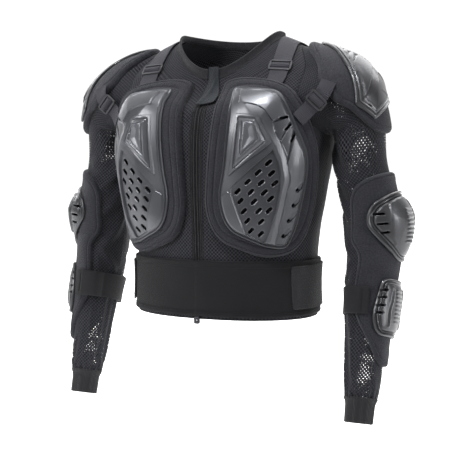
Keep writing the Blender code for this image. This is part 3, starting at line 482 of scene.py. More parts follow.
class Look:
    """A Principled material, with short calls for what shades it from its chart."""

    def __init__(self, name, **sockets):
        self.material = bpy.data.materials.new(name)
        self.material.use_nodes = True
        self.tree = self.material.node_tree
        self.shader = self.tree.nodes["Principled BSDF"]
        for key, value in sockets.items():
            self.shader.inputs[key.replace("_", " ")].default_value = value
        self.chart = node(self.tree, "Attribute", attribute_name="chart").outputs["Vector"]

    def feed(self, key, socket):
        self.tree.links.new(socket, self.shader.inputs[key])

    def noise(self, scale, detail, at=None):
        inputs = {"Vector": at or self.chart, "Scale": scale, "Detail": detail}
        return node(self.tree, "TexNoise", inputs).outputs[0]

    def waves(self, axis, pitch):
        """A wave from -1 to 1 along one chart direction, one crest for each pitch."""
        place = node(self.tree, "SeparateXYZ", {0: self.chart}).outputs[axis]
        return calc(self.tree, "SINE", calc(self.tree, "MULTIPLY", place, 2 * math.pi / pitch))

    def colour(self, share, low, high):
        mix = node(self.tree, "Mix", {0: share}, data_type="RGBA")
        mix.inputs[6].default_value = (*low, 1)
        mix.inputs[7].default_value = (*high, 1)
        self.feed("Base Color", mix.outputs[2])

    def bump(self, height, strength, reach=0.0006):
        inputs = {"Height": height, "Strength": strength, "Distance": reach}
        self.feed("Normal", node(self.tree, "Bump", inputs).outputs[0])


MESH_PITCH = 0.0043  # between the mesh cloth's holes


def mesh_cloth(name, open_holes):
    """Mesh cloth: rows of small holes of uneven size, either open or painted near black as painted shade; the
    yarn is painted darker at the holes and lighter away from them, a painted highlight.
    """
    look = Look(name, Roughness=0.85, Specular_IOR_Level=0.20, Sheen_Weight=0.08, Sheen_Roughness=0.5)
    tree = look.tree
    turned = node(tree, "Mapping", {"Vector": look.chart, "Rotation": (0, 0, math.radians(45))}).outputs[0]
    inputs = {"Vector": turned, "Scale": 1 / MESH_PITCH, "Randomness": 0.10}
    cells = node(tree, "TexVoronoi", inputs, voronoi_dimensions="2D").outputs
    far = cells["Distance"]
    own = node(tree, "SeparateXYZ", {0: cells["Color"]}).outputs[0]
    radius = weighted(tree, ranged(tree, look.noise(24.0, 2.0), 0.36, 0.62, 0.06, 0.23), (own, 0.16))
    yarn = ranged(tree, calc(tree, "SUBTRACT", far, radius), -0.03, 0.03)
    if open_holes:
        look.feed("Alpha", yarn)
    # Painted shade and highlight: the yarn darkens towards the holes and lightens away from them, and the
    # holes are painted near black.
    yarn_painted_light = calc(tree, "MULTIPLY", ranged(tree, far, 0.30, 0.62), 0.65)
    share = calc(tree, "MULTIPLY", yarn, weighted(tree, yarn_painted_light, (look.noise(900.0, 2.0), 0.35)))
    look.colour(share, (0.002, 0.002, 0.003), (0.050, 0.051, 0.062))
    look.bump(far, 0.6, 0.0008)
    return look.material


def woven(name, low, high, pitch):
    """Plain weave of flecked, uneven yarns, with soft patches."""
    look = Look(name, Roughness=0.85, Specular_IOR_Level=0.22, Sheen_Weight=0.12, Sheen_Roughness=0.45)
    weave = calc(look.tree, "MULTIPLY", look.waves(0, pitch), look.waves(1, pitch))
    fleck, slub, patch = look.noise(1400.0, 3.0), look.noise(380.0, 3.0), look.noise(40.0, 3.0)
    share = weighted(look.tree, -0.48, (fleck, 0.35), (patch, 0.35), (slub, 1.2), (weave, 0.18))
    look.colour(share, low, high)
    look.bump(weighted(look.tree, weave, (fleck, 0.8), (slub, 1.2)), 0.6)
    return look.material


def ribbed(name, low, high, pitch, axis):
    """Ribs that run across one chart direction, as in webbing, elastic and knitted cuffs."""
    look = Look(name, Roughness=0.8, Specular_IOR_Level=0.22, Sheen_Weight=0.10, Sheen_Roughness=0.45)
    rib, cross = look.waves(axis, pitch), look.waves(1 - axis, pitch * 0.7)
    fleck, patch = look.noise(1100.0, 3.0), look.noise(30.0, 2.0)
    look.colour(weighted(look.tree, 0.0, (fleck, 0.6), (patch, 0.3), (rib, 0.15)), low, high)
    knots = calc(look.tree, "MULTIPLY", rib, cross)
    look.bump(weighted(look.tree, rib, (knots, 0.35), (fleck, 0.4)), 0.7)
    return look.material


def moulded(name, low, high, roughness, metallic, coat):
    """Glossy moulded plate: darker in its grooves and brighter on its ridges, as painted shade and painted
    highlight, with fine scuffs.
    """
    look = Look(name, Roughness=roughness, Metallic=metallic, Coat_Weight=coat, Coat_Roughness=0.12)
    # Painted shade and highlight, read from the relief attribute.
    relief = node(look.tree, "Attribute", attribute_name="relief").outputs["Fac"]
    cloud = look.noise(22.0, 4.0)
    look.colour(weighted(look.tree, 0.05, (relief, 0.55), (cloud, 0.45)), low, high)
    inputs = {"Vector": look.chart, "Scale": (1, 0.08, 1), "Rotation": (0, 0, 0.5)}
    scuffs = look.noise(1500.0, 4.0, node(look.tree, "Mapping", inputs).outputs[0])
    look.feed("Roughness", weighted(look.tree, roughness - 0.10, (cloud, 0.10), (scuffs, 0.14)))
    look.bump(look.noise(700.0, 3.0), 0.10, 0.0003)
    return look.material


def plain_metal(name, colour, roughness):
    look = Look(name, Roughness=roughness, Metallic=1.0)
    cloud = node(look.tree, "TexNoise", {"Scale": 300.0, "Detail": 3.0}).outputs[0]
    look.colour(cloud, tuple(0.75 * c for c in colour), colour)
    look.feed("Roughness", weighted(look.tree, roughness - 0.1, (cloud, 0.2)))
    return look.material


MESH = mesh_cloth("spacer_mesh", False)
OPEN_MESH = mesh_cloth("open_mesh", True)
PAD = woven("pad_cover", (0.010, 0.010, 0.013), (0.045, 0.046, 0.057), 0.0016)
BINDING = woven("binding_tape", (0.007, 0.007, 0.009), (0.030, 0.030, 0.036), 0.0012)
TAB = woven("tab_cloth", (0.014, 0.016, 0.019), (0.046, 0.052, 0.062), 0.0010)
ZIP_TAPE = woven("zip_tape", (0.005, 0.005, 0.006), (0.022, 0.022, 0.026), 0.0010)
BELT = ribbed("belt_elastic", (0.003, 0.003, 0.004), (0.012, 0.012, 0.015), 0.0016, 1)
BELT_TAB = woven("belt_tab_cloth", (0.012, 0.012, 0.014), (0.038, 0.038, 0.043), 0.0014)
ARM_BAND = ribbed("arm_elastic", (0.007, 0.007, 0.008), (0.026, 0.026, 0.030), 0.0018, 1)
KNIT = ribbed("cuff_knit", (0.009, 0.009, 0.010), (0.032, 0.032, 0.036), 0.0022, 0)
WEBBING = ribbed("webbing", (0.020, 0.020, 0.024), (0.080, 0.080, 0.098), 0.0019, 0)
PLATE = moulded("plate", (0.021, 0.022, 0.026), (0.156, 0.160, 0.176), 0.37, 0.60, 0.20)
# Painted shade: a darker copy of the plate material, for the shoulder, elbow and forearm plates.
SHADED_PLATE = moulded("shaded_plate", (0.016, 0.016, 0.019), (0.098, 0.100, 0.108), 0.37, 0.55, 0.20)
BUCKLE = moulded("buckle", (0.030, 0.030, 0.034), (0.110, 0.110, 0.125), 0.42, 0.15, 0.15)
METAL = plain_metal("dark_metal", (0.09, 0.09, 0.10), 0.40)

# Outlines: corners are shares of a box's width, height and width. They are the frame's, but for
# the shoulder plate's lower point and the elbow pad's lower part, which follow the photograph.
CHEST_PAD_CORNERS = (
    (0.08, 0.03, 0.16), (0.37, 0.00, 0.25), (0.62, 0.05, 0.14), (0.74, 0.14, 0.20),
    (0.97, 0.42, 0.25), (1.00, 0.76, 0.30), (0.88, 0.96, 0.22), (0.58, 1.00, 0.25),
    (0.12, 0.90, 0.25), (0.00, 0.74, 0.30), (0.03, 0.40, 0.40),
)
CHEST_PLATE_CORNERS = (
    (0.10, 0.00, 0.10), (0.62, 0.02, 0.10), (0.98, 0.40, 0.20), (1.00, 0.56, 0.20),
    (0.96, 0.86, 0.20), (0.86, 1.00, 0.08), (0.62, 0.99, 0.20), (0.12, 0.88, 0.20),
    (0.00, 0.68, 0.20), (0.06, 0.50, 0.30), (0.09, 0.20, 0.30),
)
CHEST_SLOTS = (
    (0.562, 0.441), (0.465, 0.502), (0.602, 0.506), (0.362, 0.563), (0.504, 0.566),
    (0.645, 0.568), (0.256, 0.623), (0.403, 0.625), (0.545, 0.626), (0.293, 0.682),
    (0.442, 0.684), (0.616, 0.664), (0.337, 0.745), (0.500, 0.741), (0.612, 0.737),
    (0.380, 0.808), (0.537, 0.812), (0.427, 0.874), (0.544, 0.894),
)
CHEST_VENTS = ((0.665, 0.170, 15), (0.714, 0.225, 48), (0.776, 0.292, 70))
CHEST_SCOOPS = ((0.895, 0.613, 48), (0.873, 0.709, 48), (0.840, 0.807, 48), (0.800, 0.909, 48))
SHOULDER_PAD_CORNERS = (
    (0.20, 0.10, 0.20), (0.42, 0.00, 0.12), (0.62, 0.00, 0.12), (0.88, 0.16, 0.10),
    (1.00, 0.50, 0.16), (0.78, 0.98, 0.20), (0.30, 1.00, 0.20), (0.04, 0.55, 0.20),
)
SHOULDER_PLATE_CORNERS = (
    (0.26, 0.12, 0.14), (0.46, 0.00, 0.10), (0.80, 0.36, 0.10), (0.88, 0.50, 0.08), (1.04, 0.80, 0.05),
    (0.85, 1.04, 0.04), (0.29, 0.86, 0.08), (0.04, 0.70, 0.14), (0.10, 0.40, 0.20),
)
ELBOW_PAD_CORNERS = (
    (0.10, 0.08, 0.20), (0.50, 0.00, 0.20), (0.93, 0.06, 0.20), (1.00, 0.36, 0.20),
    (0.90, 0.44, 0.12), (0.96, 0.74, 0.20), (0.62, 1.00, 0.10), (0.38, 1.00, 0.10),
    (0.04, 0.74, 0.20), (0.10, 0.44, 0.12), (0.00, 0.36, 0.20),
)
ELBOW_CUP_CORNERS = (
    (0.34, 0.00, 0.14), (0.66, 0.00, 0.14), (0.92, 0.14, 0.14), (1.00, 0.42, 0.14), (0.84, 0.72, 0.14),
    (0.60, 1.00, 0.10), (0.40, 1.00, 0.10), (0.16, 0.72, 0.14), (0.00, 0.42, 0.14), (0.08, 0.14, 0.14),
)
FOREARM_PLATE_CORNERS = (
    (0.14, 0.02, 0.12), (0.88, 0.00, 0.12), (1.00, 0.70, 0.14),
    (0.90, 1.00, 0.14), (0.10, 1.00, 0.14), (0.00, 0.70, 0.14),
)
BACK_PAD_CORNERS = (
    (0.22, 0.00, 0.20), (0.78, 0.00, 0.20), (1.00, 0.22, 0.25),
    (0.90, 1.00, 0.16), (0.10, 1.00, 0.16), (0.00, 0.22, 0.25),
)
SHOULDER_STRAP_PATH = (
    (33.0, 0.870), (38.5, 0.905), (45.0, 0.938), (56.0, 0.963), (72.0, 0.978), (90.0, 0.983),
    (108.0, 0.979), (124.0, 0.964), (136.0, 0.937), (143.0, 0.905), (147.0, 0.872),
)
SIDE_STRAP_PATH = ((0.160, -0.140), (0.172, -0.126), (0.061, -0.070), (0.052, -0.070))

PLATE_WALL = 0.003
# Gaps between a piece and what it lies on
SEAT = 0.0009
LYING = 0.0004
SHOULDER_PLATE_SEAT = 0.00054
ARM_PLATE_SEAT = 0.00126


def chest_box(width, height):
    """Left, top, width and height of a chest piece: the pad's box, shrunk about one point."""
    return 0.018 + 0.47 * (0.200 - width), -0.071 - 0.58 * (0.290 - height), width, height


CHEST_PAD_BOX = chest_box(0.200, 0.290)
CHEST_PLATE_BOX = chest_box(0.142, 0.247)
SHOULDER_PAD_BOX = (-0.068, -0.010, 0.136, 0.196)
SHOULDER_PLATE_BOX = (-0.053, -0.016, 0.098, 0.162)
ELBOW_PAD_BOX = (-0.090, -0.250, 0.180, 0.312)
ELBOW_CUP_BOX = (-0.067, -0.289, 0.130, 0.108)
FOREARM_PLATE_BOX = (-0.047, -0.425, 0.094, 0.090)
BACK_PAD_BOX = (-0.120, -0.050, 0.240, 0.300)
CHEST_OUTLINE = shape(CHEST_PLATE_BOX, CHEST_PLATE_CORNERS)
SHOULDER_OUTLINE = shape(SHOULDER_PLATE_BOX, SHOULDER_PLATE_CORNERS)
ELBOW_OUTLINE = shape(ELBOW_CUP_BOX, ELBOW_CUP_CORNERS)
FOREARM_OUTLINE = shape(FOREARM_PLATE_BOX, FOREARM_PLATE_CORNERS)
CHEST_PAD_THICK, SHOULDER_PAD_THICK, ELBOW_PAD_THICK, BACK_PAD_THICK = 0.012, 0.010, 0.008, 0.012


# Cloth body and sleeves

def body_rows(below, through):
    """Shares up of the torso's rows, and each row's degrees from the side seam to a panel."""
    turns = np.linspace(180, 0, through)
    middle, half = (ARMHOLE_LOW + ARMHOLE_HIGH) / 2, (ARMHOLE_HIGH - ARMHOLE_LOW) / 2
    ups = [*np.linspace(0, ARMHOLE_LOW, below)[:-1], *(middle + half * np.cos(np.radians(turns)))]
    spreads = [0.0] * (below - 1) + [ARMHOLE_SPREAD * math.sin(math.radians(t)) for t in turns]
    top = np.linspace(ARMHOLE_HIGH, 1.0, 5)[1:]
    return np.array([*ups, *top]), np.array([*spreads, *([0.0] * len(top))])


def torso_folds(angle, up):
    """Slight ripples of the mesh: soft drape at the sides and waist, and very low ones elsewhere."""
    side = np.abs(np.sin(np.radians(angle)))
    wave = np.sin(np.radians(angle) * 9 + 2.2 * np.sin(up * 9))
    drape = wave * bump(up, 0.42, 0.30) * ease(side, 0.55, 0.95)
    return 0.0012 * drape + 0.0005 * np.sin(np.radians(angle) * 5 + up * 31)


def run_lengths(points):
    """Metres run along each row of a grid of points."""
    steps = np.linalg.norm(np.diff(points, axis=1), axis=2)
    return np.concatenate([np.zeros((len(points), 1)), np.cumsum(steps, axis=1)], axis=1)


def cloth_chart(points, origin):
    """Metres across the cloth from one column, and up it from its first row."""
    across = run_lengths(points)
    up = run_lengths(points.transpose(1, 0, 2)).T
    return np.stack([across - across[:, origin:origin + 1], up], axis=-1)


def torso_panel(name, low_turn, high_turn, columns, origin):
    """One panel of mesh between two turns, given for each row's spread."""
    ups, spreads = body_rows(46, 44)
    grid = np.array([np.linspace(low_turn(s), high_turn(s), columns) for s in spreads])
    up = np.repeat(ups[:, None], columns, axis=1)
    fold = torso_folds(grid, up)
    outer = lifted(torso_point, grid, up, fold)
    inner = lifted(torso_point, grid, up, fold - CLOTH)
    return grid_solid(name, outer, inner, cloth_chart(outer, origin), MESH)


def build_body():
    zip_angle = float(chest_angle(ZIP_WIDTH / 2))
    seam = 0.15  # degrees between a panel's edge and the side seam
    front = torso_panel("mesh_front_left", lambda s: zip_angle, lambda s: 90 - s - seam, 34, 0)
    pair(front, "mesh_cloth", "body_front")
    back = torso_panel("mesh_back", lambda s: 90 + s + seam, lambda s: 270 - s - seam, 67, 33)
    dress(back, "mesh_cloth", "body_back")


SLEEVE_FOLDS = (
    # ridge from (degrees round, share along) to the same, half width in metres, height
    (150, 0.36, 95, 0.47, 0.010, 0.0030),
    (165, 0.43, 105, 0.55, 0.009, 0.0026),
    (215, 0.40, 250, 0.52, 0.010, 0.0028),
    (130, 0.30, 75, 0.39, 0.009, 0.0022),
    (170, 0.52, 130, 0.62, 0.008, 0.0030),
    (200, 0.55, 235, 0.64, 0.009, 0.0026),
    (120, 0.64, 160, 0.70, 0.007, 0.0022),
    (150, 0.78, 135, 0.97, 0.006, 0.0022),
    (190, 0.79, 200, 0.96, 0.007, 0.0022),
    (115, 0.83, 100, 0.97, 0.006, 0.0018),
    (60, 0.91, 40, 0.98, 0.006, 0.0016),
    (300, 0.90, 320, 0.98, 0.006, 0.0016),
)


def sleeve_folds(along, around):
    """Ridges and hollows of the loose mesh, mostly at the inside of the arm."""
    across, down = np.radians(around % 360) * ARM_WIDTH / 2, along * SLEEVE_LENGTH
    metres = np.stack([across, down], axis=-1).reshape(-1, 2)
    total = np.zeros(len(metres))
    for *ends, half, height in SLEEVE_FOLDS:
        ends = np.array(ends).reshape(2, 2)
        ends = np.column_stack([np.radians(ends[:, 0]) * ARM_WIDTH / 2, ends[:, 1] * SLEEVE_LENGTH])
        gap = distance(metres, curved([ends[0], ends.mean(0) + 0.004, ends[1]], 8))
        total += height * (bump(gap, 0, half) - 0.45 * bump(gap, 1.7 * half, half))
    total += 0.0006 * np.sin(metres[:, 0] * 160 + metres[:, 1] * 60) * ease(metres[:, 1], 0.20, 0.26)
    gather = 0.0012 * np.cos(np.radians(around.ravel()) * 16) * ease(metres[:, 1], 0.585, 0.61)
    return (total + gather).reshape(along.shape)


def build_sleeves():
    columns = 96
    turns = np.linspace(-180, 180, columns, endpoint=False)
    alongs = np.concatenate([np.linspace(0.001, 0.30, 44), np.linspace(0.305, 1.0, 110)])
    along, around = np.meshgrid(alongs, turns, indexing="ij")
    across, down = np.radians(around) * ARM_WIDTH / 2, along * SLEEVE_LENGTH
    fold = sleeve_folds(along, around)
    outer = on_sleeve(across, down, fold)
    inner = on_sleeve(across, down, fold - CLOTH)
    chart = cloth_chart(outer, columns // 2)
    chart[..., 1] = down  # keeps the rows of holes level round the armhole
    sleeve = grid_solid("mesh_sleeve_left", outer, inner, chart, OPEN_MESH, closed=True)
    pair(sleeve, "mesh_cloth", "upper_sleeve", "lower_sleeve")


def build_cuffs():
    columns, rows = 224, 26
    turns = np.linspace(0, 360, columns, endpoint=False)
    end, before = sleeve_point(1.0, turns), sleeve_point(0.985, turns)
    centre = end.mean(0)
    way = unit(centre - before.mean(0))
    spokes = end - centre
    spokes = unit(spokes - np.outer(spokes @ way, way))
    downs = np.linspace(0, 1, rows)
    width = np.interp(downs, (0.0, 0.10, 0.16, 0.3, 1.0), (1.13, 1.10, 1.03, 0.98, 0.95))
    rib = 0.00022 * np.cos(np.radians(turns) * 56)
    overlap = 0.004  # up over the sleeve's end
    outer, inner = (
        np.array([
            centre + way * (d * (CUFF_LENGTH + overlap) - overlap)
            + spokes * (CUFF_WIDTH / 2 * w + rib - wall)[:, None]
            for d, w in zip(downs, width)
        ])
        for wall in (0.0, CUFF_WALL)
    )
    rounding = (way * 0.0010)[None, :]
    outer[-1] -= rounding
    outer[0] += rounding
    across = np.radians(turns) * CUFF_WIDTH / 2
    chart = np.stack(np.meshgrid(across, downs * CUFF_LENGTH), axis=-1)
    cuff = grid_solid("knit_cuff_left", outer, inner, chart, KNIT, closed=True)
    pair(cuff, "knit", "cuff")


# Collar, zipper and tab

def build_collar():
    """Tape folded over the neckline's edge, a little higher at the front."""
    zip_angle = float(chest_angle(ZIP_WIDTH / 2 + 0.0004))
    angles = np.linspace(zip_angle, 360 - zip_angle, 190)
    edge = torso_point(angles, 1.0)
    down = torso_point(angles, 0.985) - edge
    outward = unit(down * (1, 1, 0))
    down = unit(down)
    high = 0.0100 + 0.0025 * np.maximum(np.cos(np.radians(angles)), 0) ** 2
    lap, wall, half = 0.0040, 0.0021, 0.0019
    turns = np.radians(np.linspace(0, 180, 11))
    # The tape's section: out from the edge, up from it or from its top, and share of its height
    rows = [(wall, -lap, 0), (wall, -lap * 0.55, 0), (wall - 0.0004, -lap * 0.2, 0), (wall - 0.0003, 0, 0.35)]
    rows += [(half * math.cos(t) - 0.0002, 0.0018 * (math.sin(t) - 1), 1) for t in turns]
    rows += [(-wall, 0, 0.35), (-wall - 0.0012, -lap * 0.6, 0), (-wall - 0.0012, -lap, 0)]

    def line(out, up, share):
        rise = down * -up if share == 0 else np.outer(high * share + up, (0, 0, 1))
        return edge + outward * out + rise

    outer = np.array([line(*row) for row in rows])
    inner = np.array([line(a * 0.30 - 0.0004, min(b, 0) * 0.9 - 0.0001, c * 0.8) for a, b, c in rows])
    chart = np.stack(np.meshgrid(run_along(edge), np.linspace(0, 0.028, len(rows))), axis=-1)
    dress(grid_solid("collar_band", outer, inner, chart, BINDING, crease=60), "binding", "collar_binding")


def build_zipper():
    """Two tapes with a covered coil: a doubled ridge down the middle, between raised folds."""
    ups, _ = body_rows(70, 40)
    across = np.linspace(-1, 1, 41)
    edge = float(chest_angle(ZIP_WIDTH / 2)) - 0.12
    metres = across * ZIP_WIDTH / 2
    profile = 0.0016 * bump(np.abs(metres), 0.0030, 0.0022) - 0.0010 * bump(metres, 0, 0.0010)
    profile += 0.0011 * bump(np.abs(metres), 0.0078, 0.0014) + 0.0006 * ease(np.abs(metres), 0.0088, 0.0100)
    angle, up = np.meshgrid(across * edge, ups)
    ripple = 0.0004 * np.sin(up * 80) * np.cos(across * 3)
    outer = lifted(torso_point, angle, up, profile + ripple)
    inner = lifted(torso_point, angle, up, -0.0025)
    chart = np.stack(np.broadcast_arrays(metres, outer[..., 2]), axis=-1)
    dress(grid_solid("zipper_tape", outer, inner, chart, ZIP_TAPE), "zip", "zipper_strip")


def build_stop():
    """The zipper's end stop: a block with rounded corners, from its back to its smaller front."""
    width, deep, height = 0.010, 0.004, 0.012
    turns = np.radians(np.linspace(0, 360, 32, endpoint=False))
    ring = np.stack([np.sign(f) * np.abs(f) ** 0.4 for f in (np.cos(turns), np.sin(turns))], axis=1)
    layers = []
    for share, size in ((0.02, 0.9), (0.10, 1.0), (0.80, 1.0), (0.95, 0.92), (1.0, 0.80)):
        flat = ring * (width / 2 * size, height / 2 * size)
        layers.append(np.column_stack([flat[:, 0], np.full(32, -share * deep - 0.0003), flat[:, 1]]))
    outer = np.array(layers) + torso_point(0.0, 0.0) + (0, 0, 0.005 - SEAT - height / 2)
    middle = outer.mean(axis=1, keepdims=True)
    inner = middle + (outer - middle) * 0.3
    chart = np.stack(np.meshgrid(turns, np.arange(5)), axis=-1) * 0.001
    dress(grid_solid("zipper_end", outer, inner, chart, METAL, closed=True), "metal", "zipper_stop")


def build_tab():
    """Folded tab over the zipper's top: it narrows and leans, and its free end lifts a little."""
    front = torso_point(0.0, 1.0)
    top, length, width = front[2] + 0.0155, 0.0640, 0.033
    rows, columns = 34, 22
    shares, sides = np.linspace(0, 1, rows), np.linspace(-1, 1, columns)
    share, side = np.meshgrid(shares, sides, indexing="ij")
    half = width / 2 * (1 - 0.05 * ease(share, 0.1, 1.0))
    middle = 0.0085 + 0.0010 * (1 - share)
    corner = 0.0022 * ease(share, 0.93, 1.0) * np.abs(side) ** 8
    height = top - length * share + 0.0030 * share * side + corner
    low = np.minimum(height, front[2] - 0.004)
    above = np.stack([0 * low, 0 * low, height - low], axis=-1)
    crease = 0.0014 * np.exp(-((side * 0.7 + (share - 0.55) * 1.4) / 0.16) ** 2) * ease(share, 0.25, 0.5)
    lift = 0.0032 + 0.0026 * ease(share, 0.65, 1.0) + crease + 0.0006 * np.sin(side * 2.5 + share * 4)
    outer, inner = (on_torso(middle + side * half, low, lift - wall) + above for wall in (0.0, 0.0019))
    chart = np.stack([side * half, height], axis=-1)
    tab = dress(grid_solid("collar_flap", outer, inner, chart, TAB), "tab_cloth", "collar_tab")


# Waist belt

BELT_HEIGHT, BELT_UP = 0.090, 0.005
BELT_TAB_START, BELT_TAB_WIDTH, BELT_TAB_HEIGHT = 0.180, 0.120, 0.072


def build_belt():
    """Elastic belt with a hem folded and sewn along both edges."""
    high, columns = BELT_HEIGHT, 260
    turn, share = np.meshgrid(np.linspace(0, 360, columns, endpoint=False), np.linspace(0, 1, 60))
    metres = share * high
    up = (BELT_UP + metres) / TORSO_LENGTH
    swell = 0.0010 * np.sin(np.pi * share) + 0.0035
    hem = 0.0009 * (ease(metres, 0.0, 0.001) - ease(metres, 0.0075, 0.0085))
    head = 0.0010 * (ease(metres, high - 0.0105, high - 0.0095) - ease(metres, high - 0.001, high))
    ripple = 0.0006 * np.sin(np.radians(turn) * 7 + share * 2.5) * np.sin(np.pi * share)
    stitch = 0.0005 * (bump(metres, 0.0062, 0.0008) + bump(metres, high - 0.0082, 0.0008))
    outer = lifted(torso_point, turn, up, SEAT + swell + hem + head + ripple - stitch)
    inner = lifted(torso_point, turn, up, LYING + 0.0002)
    chart = np.stack([np.radians(turn) * 0.155, metres], axis=-1)
    dress(grid_solid("elastic_belt", outer, inner, chart, BELT, closed=True), "belt_cloth", "waist_belt")


def build_belt_tabs():
    left, right = BELT_TAB_START, BELT_TAB_START + BELT_TAB_WIDTH
    top = BELT_UP + 0.52 * BELT_HEIGHT - TORSO_LENGTH + BELT_TAB_HEIGHT / 2
    low = top - BELT_TAB_HEIGHT
    outline = rounded_outline([
        (left + 0.002, top - 0.001, 0.004), (right, top + 0.001, 0.006),
        (right, low, 0.006), (left + 0.006, low + 0.001, 0.004),
    ], 160)
    flat, tris = filled(outline, 0.0024, lines=[kept_inset(outline, d) for d in (0.0008, 0.0045, 0.0055)])
    edge = distance(flat, outline, True)
    over = 0.0066 + 0.0026 * ease(edge, -0.0002, 0.0012) - 0.0005 * bump(edge, 0.005, 0.0012)
    over += 0.0008 * np.sin(flat[:, 0] * 60) * ease(edge, 0.004, 0.02)
    tab = solid("belt_grip_left", on_torso, flat, tris, over, 0.0062, BELT_TAB)
    pair(tab, "tab_cloth", "belt_tab")


# Pads

FOAM = 0.0006  # height of the soft unevenness of foam under its cover


def foam(flat, edge):
    return ease(edge, 0.006, 0.02) * (
        np.sin(flat[:, 0] * 95 + 1.3 * np.sin(flat[:, 1] * 60)) + np.sin(flat[:, 1] * 78 + 1.1)
    )


def grooved(edge, grooves):
    """Depth of (place, half width, depth) grooves that run round a piece, by distance from its edge."""
    return sum(depth * bump(edge, where, half) for where, half, depth in grooves)


def pad(name, place, box, corners, thick, grooves, seams=(), uneven=FOAM, spacing=0.0028):
    """A padded cover: a rounded side, grooves sewn round it, seams across it and soft foam."""
    outline = shape(box, corners, 260)
    insets = [0.0008, 0.0022, 0.0045]
    for where, half, _ in grooves:
        insets += [where - half, where, where + half]
    lines = [ringed(kept_inset(outline, d)) for d in insets]
    flat, tris = filled(outline, spacing, lines=[*lines, *seams])
    edge = distance(flat, outline, True)
    side = np.sqrt(np.clip(1 - (1 - np.clip(edge / (0.62 * thick), 0, 1)) ** 2, 0, 1))
    over = thick * (0.30 + 0.70 * side) - grooved(edge, grooves) + uneven * foam(flat, edge)
    for seam in seams:
        over -= 0.0012 * bump(distance(flat, seam), 0, 0.0022) * ease(edge, 0.002, 0.006)
    return solid(name, place, flat, tris, over, LYING, PAD, crease=55)


def build_pads():
    shoulder_seams = [curved([(0.010, -0.028), (0.030, -0.022), (0.052, -0.016)], 14),
                      curved([(0.040, -0.089), (0.052, -0.070), (0.066, -0.060)], 14)]
    elbow_seams = [np.array([(-0.075, -0.3690), (0.075, -0.3690)])]
    for name, place, box, corners, thick, grooves, seams, uneven, fill in (
        ("chest", on_torso, CHEST_PAD_BOX, CHEST_PAD_CORNERS, CHEST_PAD_THICK,
         ((0.0066, 0.0015, 0.0013), (0.0168, 0.0015, 0.0011)), (), 0.0, 0.9),
        ("shoulder", on_sleeve_down, SHOULDER_PAD_BOX, SHOULDER_PAD_CORNERS, SHOULDER_PAD_THICK,
         ((0.0075, 0.0014, 0.0011),), shoulder_seams, FOAM, 0.8),
        ("elbow", on_sleeve_down, ELBOW_PAD_BOX, ELBOW_PAD_CORNERS, ELBOW_PAD_THICK,
         ((0.0065, 0.0014, 0.0011),), elbow_seams, FOAM, 0.8),
    ):
        cover = pad(name + "_cover_left", place, box, corners, thick, grooves, seams, uneven)
        for piece in pair(cover, "pad_cloth", name + "_pad"):
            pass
    channels = [np.array([(x, -0.065), (x * 0.9, -0.335)]) for x in (-0.060, 0.0, 0.060)]
    back = pad("back_cover", on_back, BACK_PAD_BOX, BACK_PAD_CORNERS, BACK_PAD_THICK,
               ((0.0085, 0.0018, 0.0024),), channels, spacing=0.0034)
    dress(back, "pad_cloth", "back_pad")


# Plates

PLATE_SPACING = 0.0014
FOLD = 0.0006  # half the width of a plate's crisp steps
DOUBLE_RIM = ((0.0022, 0.0020, 0.0010), (0.0070, 0.0020, 0.0010))


def crown(edge, rise, slope):
    """A plate's height by distance from its edge: a level rim, a crisp step, then a slow rise."""
    start, end, step = slope
    share = np.clip((edge - start) / (end - start), 0, 1)
    dome = (rise - PLATE_WALL - step) * (1 - (1 - share) ** 1.5)
    return PLATE_WALL + step * ease(edge, start, start + 0.0028) + dome


def plate(name, place, outline, rise, foot, holes, relief, slope, folds, rim=DOUBLE_RIM, material=SHADED_PLATE):
    """A moulded plate: a flat rim with beads, a crown, its relief and folds, and holes right through."""
    rings = [0.0007, *np.arange(0.0014, slope[0] + 0.0008, 0.0012), slope[0] + 0.0014, slope[0] + 0.0028]
    lines = [ringed(kept_inset(outline, d)) for d in rings]
    lines += [ringed(inset(hole, -0.0010)) for hole in holes]
    flat, tris = filled(outline, PLATE_SPACING, holes, lines + folds)
    edge = distance(flat, outline, True)
    lip = np.full(len(flat), 1e9)
    for hole in holes:
        lip = np.minimum(lip, distance(flat, hole, True))
    detail = relief(flat, edge) + grooved(edge, rim) - 0.0007 * (1 - ease(lip, 0.0, 0.0011))
    over = foot + crown(edge, rise, slope) + detail - 0.0010 * (1 - ease(edge, 0, 0.0010))
    under = foot + crown(edge - 0.003, rise, slope) - PLATE_WALL - 0.0003
    under = np.minimum(under, over - 0.0012)
    # Painted shade and highlight: grooves and hole lips are painted darker, raised relief lighter.
    painted_shade = np.clip(0.45 + detail / 0.008, 0, 1)
    return solid(name, place, flat, tris, over, under, material, crease=32, relief=painted_shade)


def raised(points, outline, height):
    """A level block inside an outline, with crisp sloping sides."""
    return height * ease(depth_in(points, outline), -FOLD, FOLD)


def fold_lines(outline, closed=True):
    """Mesh lines along both sides of a crisp step."""
    outline = spaced(outline, 0.0015, closed)
    if closed:
        return [ringed(inset(outline, FOLD)), ringed(inset(outline, -FOLD))]
    side = np.gradient(outline, axis=0)[:, ::-1] * (-1, 1)
    side *= FOLD / np.linalg.norm(side, axis=1, keepdims=True)
    return [outline + side, outline - side]


def in_sheet(lines, outline, margin):
    """The parts of lines that lie well inside an outline."""
    kept = []
    for line in lines:
        fine = spaced(line, 0.0010)
        runs = np.split(np.arange(len(fine)), np.flatnonzero(np.diff(depth_in(fine, outline) > margin)) + 1)
        kept += [fine[run] for run in runs if len(run) > 3 and depth_in(fine[run[1:2]], outline)[0] > margin]
    return kept


